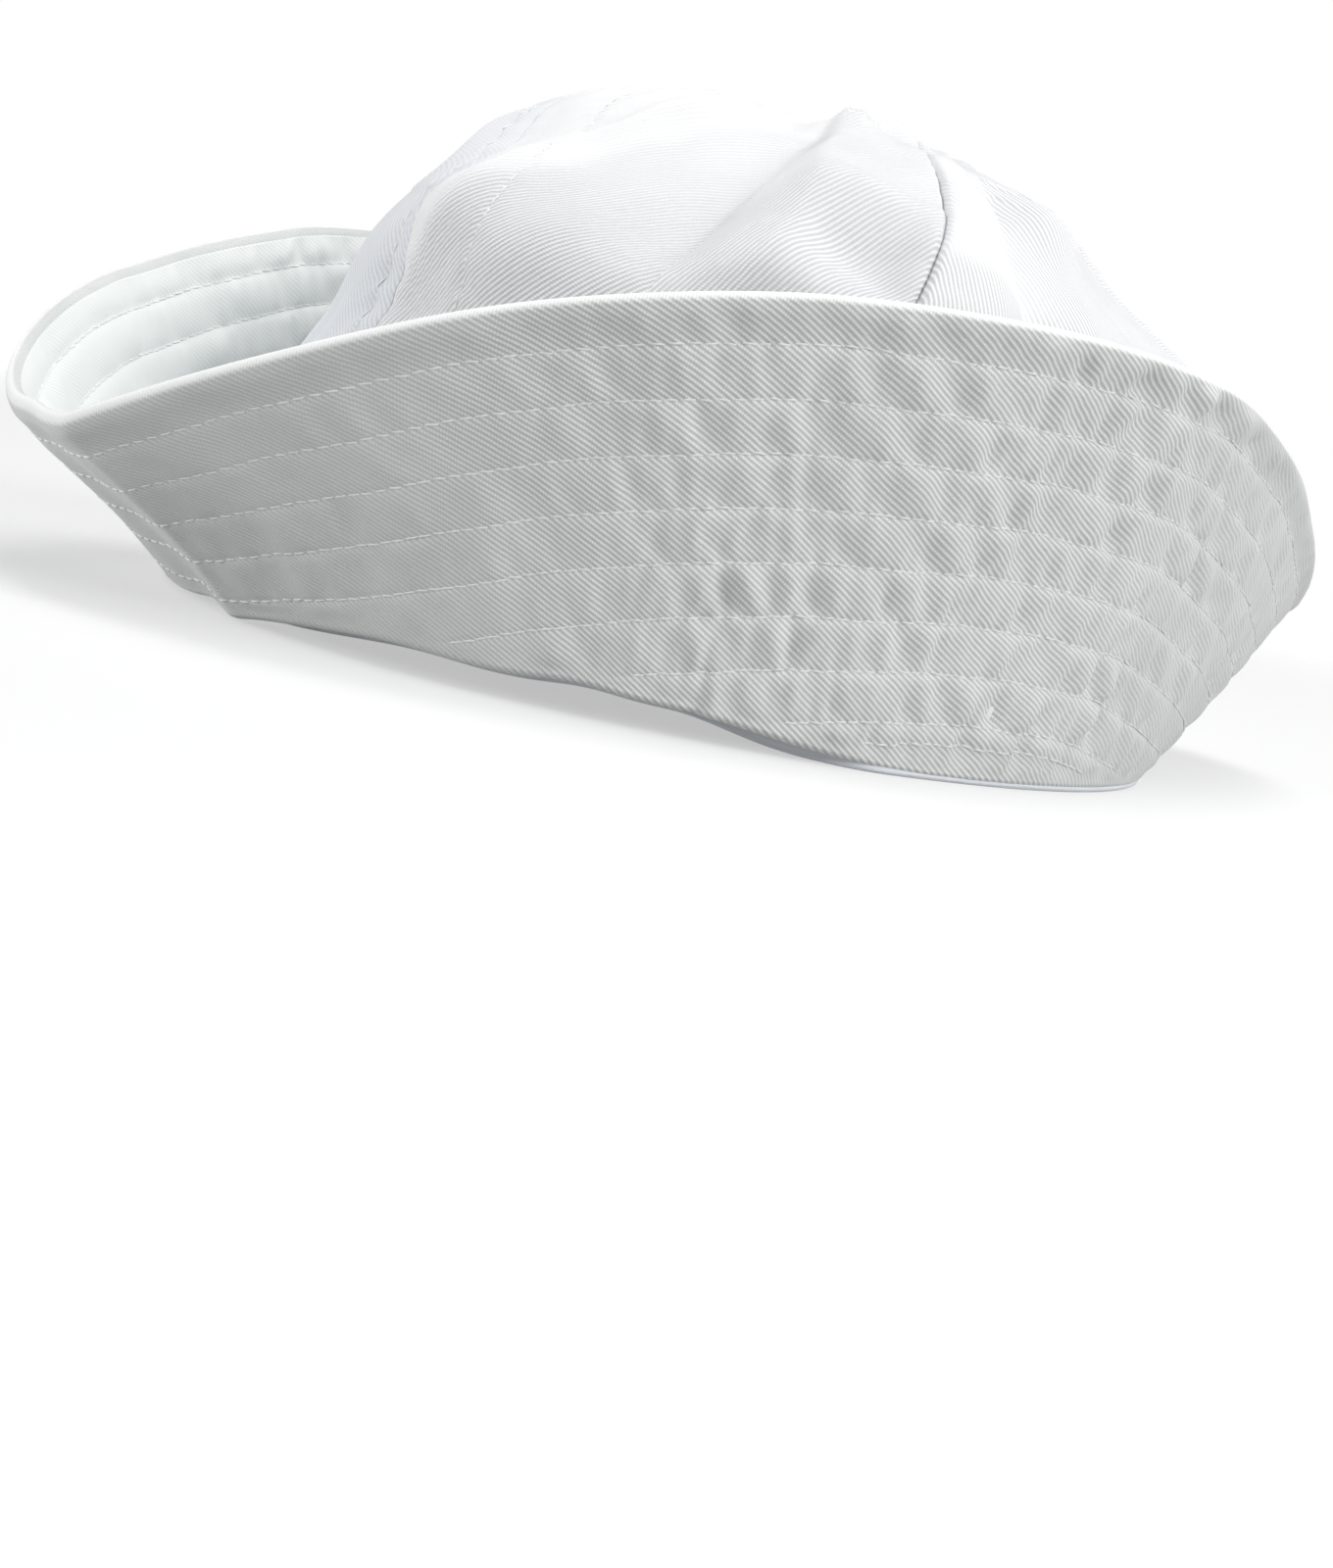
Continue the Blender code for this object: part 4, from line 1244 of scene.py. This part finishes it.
# painted shade: a darker, bluer copy of the crown cloth for the two right-hand gores, painted darker all over, with a
# painted highlight towards the top
crown_cloth_side_painted_shade_and_highlight = twill("crown_twill_side_painted_shade_and_highlight", (0.94, 0.945, 0.955), (0.50, 0.52, 0.565), 0.80, CROWN_RIB_ANGLE, 0.5, 0.3,
                         fade=((0.0, 1.0, -20.0, -10.0, 0.35, -0.15), (0.0, 1.0, 60.0, 84.0, 0.40, 0.42)), fade_layer="plain")
band_material = twill("band_cotton", (0.86, 0.89, 0.93), (0.77, 0.80, 0.85), 0.5, 0.0, 0.5, 0.3)
thread = thread_material("white_thread", (0.88, 0.90, 0.89))


def wear(obj, mat):
    obj.data.materials.clear()
    obj.data.materials.append(mat)


wear(cuff_outer, cuff_cloth)
wear(cuff_inner, cuff_inner_cloth)
wear(band, band_material)
# the front-left, left and right-hand gores wear copies of the crown cloth with painted light or shade; the back gores
# wear the soft cloth
for obj, row in zip(gore_pieces, GORES):
    wear(obj, {"crisp": crown_cloth, "left": crown_cloth_left_painted_highlight, "soft": crown_cloth_soft, "side": crown_cloth_side_painted_shade_and_highlight}[row[5]])
for obj in (stitches_out, stitches_in, stitches_crown):
    wear(obj, thread)

for obj, slot_name in ((cuff_outer, "white_twill_cuff"), (cuff_inner, "white_twill_cuff"),
                       (stitches_out, "white_twill_cuff"), (stitches_in, "white_twill_cuff"),
                       (stitches_crown, "white_twill"), (band, "white_band")):
    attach(obj, "root")
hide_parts("cuff")
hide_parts("sweatband")

# ------------------------------------------------------------------ floor
def build_floor():
    rings = np.concatenate([[0.0], np.geomspace(0.05, 6.0, 40)]) * 1000
    n = 96
    a = np.linspace(0, TAU, n, endpoint=False)
    pts = []
    for r in rings[1:]:
        pts.append(np.stack([r * np.sin(a), -r * np.cos(a), np.zeros(n)], -1))
    pts = np.array(pts)
    faces = grid_faces(len(pts), n, True)
    verts = pts.reshape(-1, 3)
    centre = len(verts)
    verts = np.concatenate([verts, [[0, 0, 0]]])
    fan = np.array([[centre, i, (i + 1) % n] for i in range(n)])
    mesh = bpy.data.meshes.new("floor")
    mesh.from_pydata((verts * MM).tolist(), [], [tuple(f) for f in faces[:, ::-1]] + [tuple(f) for f in fan])
    mesh.update()
    obj = bpy.data.objects.new("floor", mesh)
    bpy.context.scene.collection.objects.link(obj)
    mat = bpy.data.materials.new("floor_paint")
    mat.use_nodes = True
    nodes, links = mat.node_tree.nodes, mat.node_tree.links
    shader = nodes["Principled BSDF"]
    shader.inputs["Base Color"].default_value = (0.86, 0.86, 0.86, 1)
    shader.inputs["Roughness"].default_value = 0.95
    shader.inputs["Specular IOR Level"].default_value = 0.1
    glow = nodes.new("ShaderNodeEmission")
    glow.inputs["Color"].default_value = (1, 1, 1, 1)
    glow.inputs["Strength"].default_value = 1.0
    coords = nodes.new("ShaderNodeTexCoord")
    length = nodes.new("ShaderNodeVectorMath")
    length.operation = "LENGTH"
    links.new(coords.outputs["Object"], length.inputs[0])
    far = nodes.new("ShaderNodeMapRange")
    far.interpolation_type = "SMOOTHSTEP"
    far.inputs["From Min"].default_value = 0.25
    far.inputs["From Max"].default_value = 1.1
    far.inputs["To Min"].default_value = 0.48
    links.new(length.outputs["Value"], far.inputs["Value"])
    blend = nodes.new("ShaderNodeMixShader")
    links.new(far.outputs[0], blend.inputs[0])
    links.new(shader.outputs[0], blend.inputs[1])
    links.new(glow.outputs[0], blend.inputs[2])
    # what the floor throws back: a little of the light on it, and an even glow
    bare = nodes.new("ShaderNodeBsdfDiffuse")
    bare.inputs["Color"].default_value = (0.42, 0.42, 0.42, 1)
    even = nodes.new("ShaderNodeEmission")
    even.inputs["Strength"].default_value = 0.14
    matt = nodes.new("ShaderNodeAddShader")
    links.new(bare.outputs[0], matt.inputs[0])
    links.new(even.outputs[0], matt.inputs[1])
    path = nodes.new("ShaderNodeLightPath")
    either = nodes.new("ShaderNodeMixShader")
    links.new(path.outputs["Is Camera Ray"], either.inputs[0])
    links.new(matt.outputs[0], either.inputs[1])
    links.new(blend.outputs[0], either.inputs[2])
    links.new(either.outputs[0], nodes["Material Output"].inputs["Surface"])
    mesh.materials.append(mat)
    return obj


build_floor()

# ------------------------------------------------------------------ light
world = bpy.data.worlds.new("studio")
bpy.context.scene.world = world
world.use_nodes = True
wn, wl = world.node_tree.nodes, world.node_tree.links
background = wn["Background"]
background.inputs["Color"].default_value = (0.90, 0.95, 1.0, 1)
background.inputs["Strength"].default_value = 0.05
seen = wn.new("ShaderNodeBackground")
seen.inputs["Color"].default_value = (1, 1, 1, 1)
seen.inputs["Strength"].default_value = 1.0
path = wn.new("ShaderNodeLightPath")
either = wn.new("ShaderNodeMixShader")
wl.new(path.outputs["Is Camera Ray"], either.inputs[0])
wl.new(background.outputs[0], either.inputs[1])
wl.new(seen.outputs[0], either.inputs[2])
wl.new(either.outputs[0], wn["World Output"].inputs["Surface"])


def softbox(name, place, target, size, power, colour=(1, 1, 1)):
    light = bpy.data.lights.new(name, "AREA")
    light.shape = "RECTANGLE"
    light.size, light.size_y = size
    light.energy = power
    light.color = colour
    obj = bpy.data.objects.new(name, light)
    obj.location = place
    obj.rotation_euler = (Vector(target) - Vector(place)).to_track_quat("-Z", "Y").to_euler()
    bpy.context.scene.collection.objects.link(obj)
    return obj


# camera axes in the cap's frame
RIGHT = Vector((0.52941186, 0.82085542, 0.21428825))
UP = Vector((-0.24143101, -0.09636876, 0.96562111))
FORWARD = Vector((-0.81328602, 0.5629471, -0.14716119))

SOFTBOXES = (
    # name, azimuth from +X towards +Y, height angle, size in metres, watts
    ("key_softbox",       5, 30, 0.7,  7.5),
    ("fill_softbox",     40, 30, 0.7,  6.7),
    ("high_softbox",     20, 55, 0.7,  1.2),
    ("top_softbox",       0, 90, 0.7, 10.2),
    ("left_softbox",    -35, 60, 0.7,  2.0),
    ("back_softbox",     75, 65, 0.7,  2.3),
    ("low_back_softbox", 105, 20, 0.7, 4.0),
    ("front_softbox",   -80, 18, 0.7,  3.8),
    ("far_softbox",    -125,  8, 0.7, 13.0),
)
for box_name, azimuth, height_angle, wide, watts in SOFTBOXES:
    a, e = math.radians(azimuth), math.radians(height_angle)
    softbox(box_name, (1.5 * math.cos(a) * math.cos(e), 1.5 * math.sin(a) * math.cos(e), 1.5 * math.sin(e)),
            (0.0, 0.0, 0.05), (wide, wide), watts)

# ------------------------------------------------------------------ camera
camera_data = bpy.data.cameras.new("camera")
camera_data.sensor_fit = "AUTO"
camera_data.sensor_width = 36.0
camera_data.lens = 51.80
camera_data.clip_start = 0.02
camera_data.clip_end = 60.0
camera = bpy.data.objects.new("camera", camera_data)
camera.matrix_world = Matrix((
    (RIGHT.x, UP.x, -FORWARD.x, 0.350126),
    (RIGHT.y, UP.y, -FORWARD.y, -0.244801),
    (RIGHT.z, UP.z, -FORWARD.z, 0.042694),
    (0, 0, 0, 1)))
bpy.context.scene.collection.objects.link(camera)
bpy.context.scene.camera = camera
bpy.context.scene.view_settings.view_transform = "Standard"
bpy.context.scene.view_settings.look = "None"
bpy.context.scene.view_settings.exposure = 0.0
bpy.context.scene.view_settings.gamma = 1.0
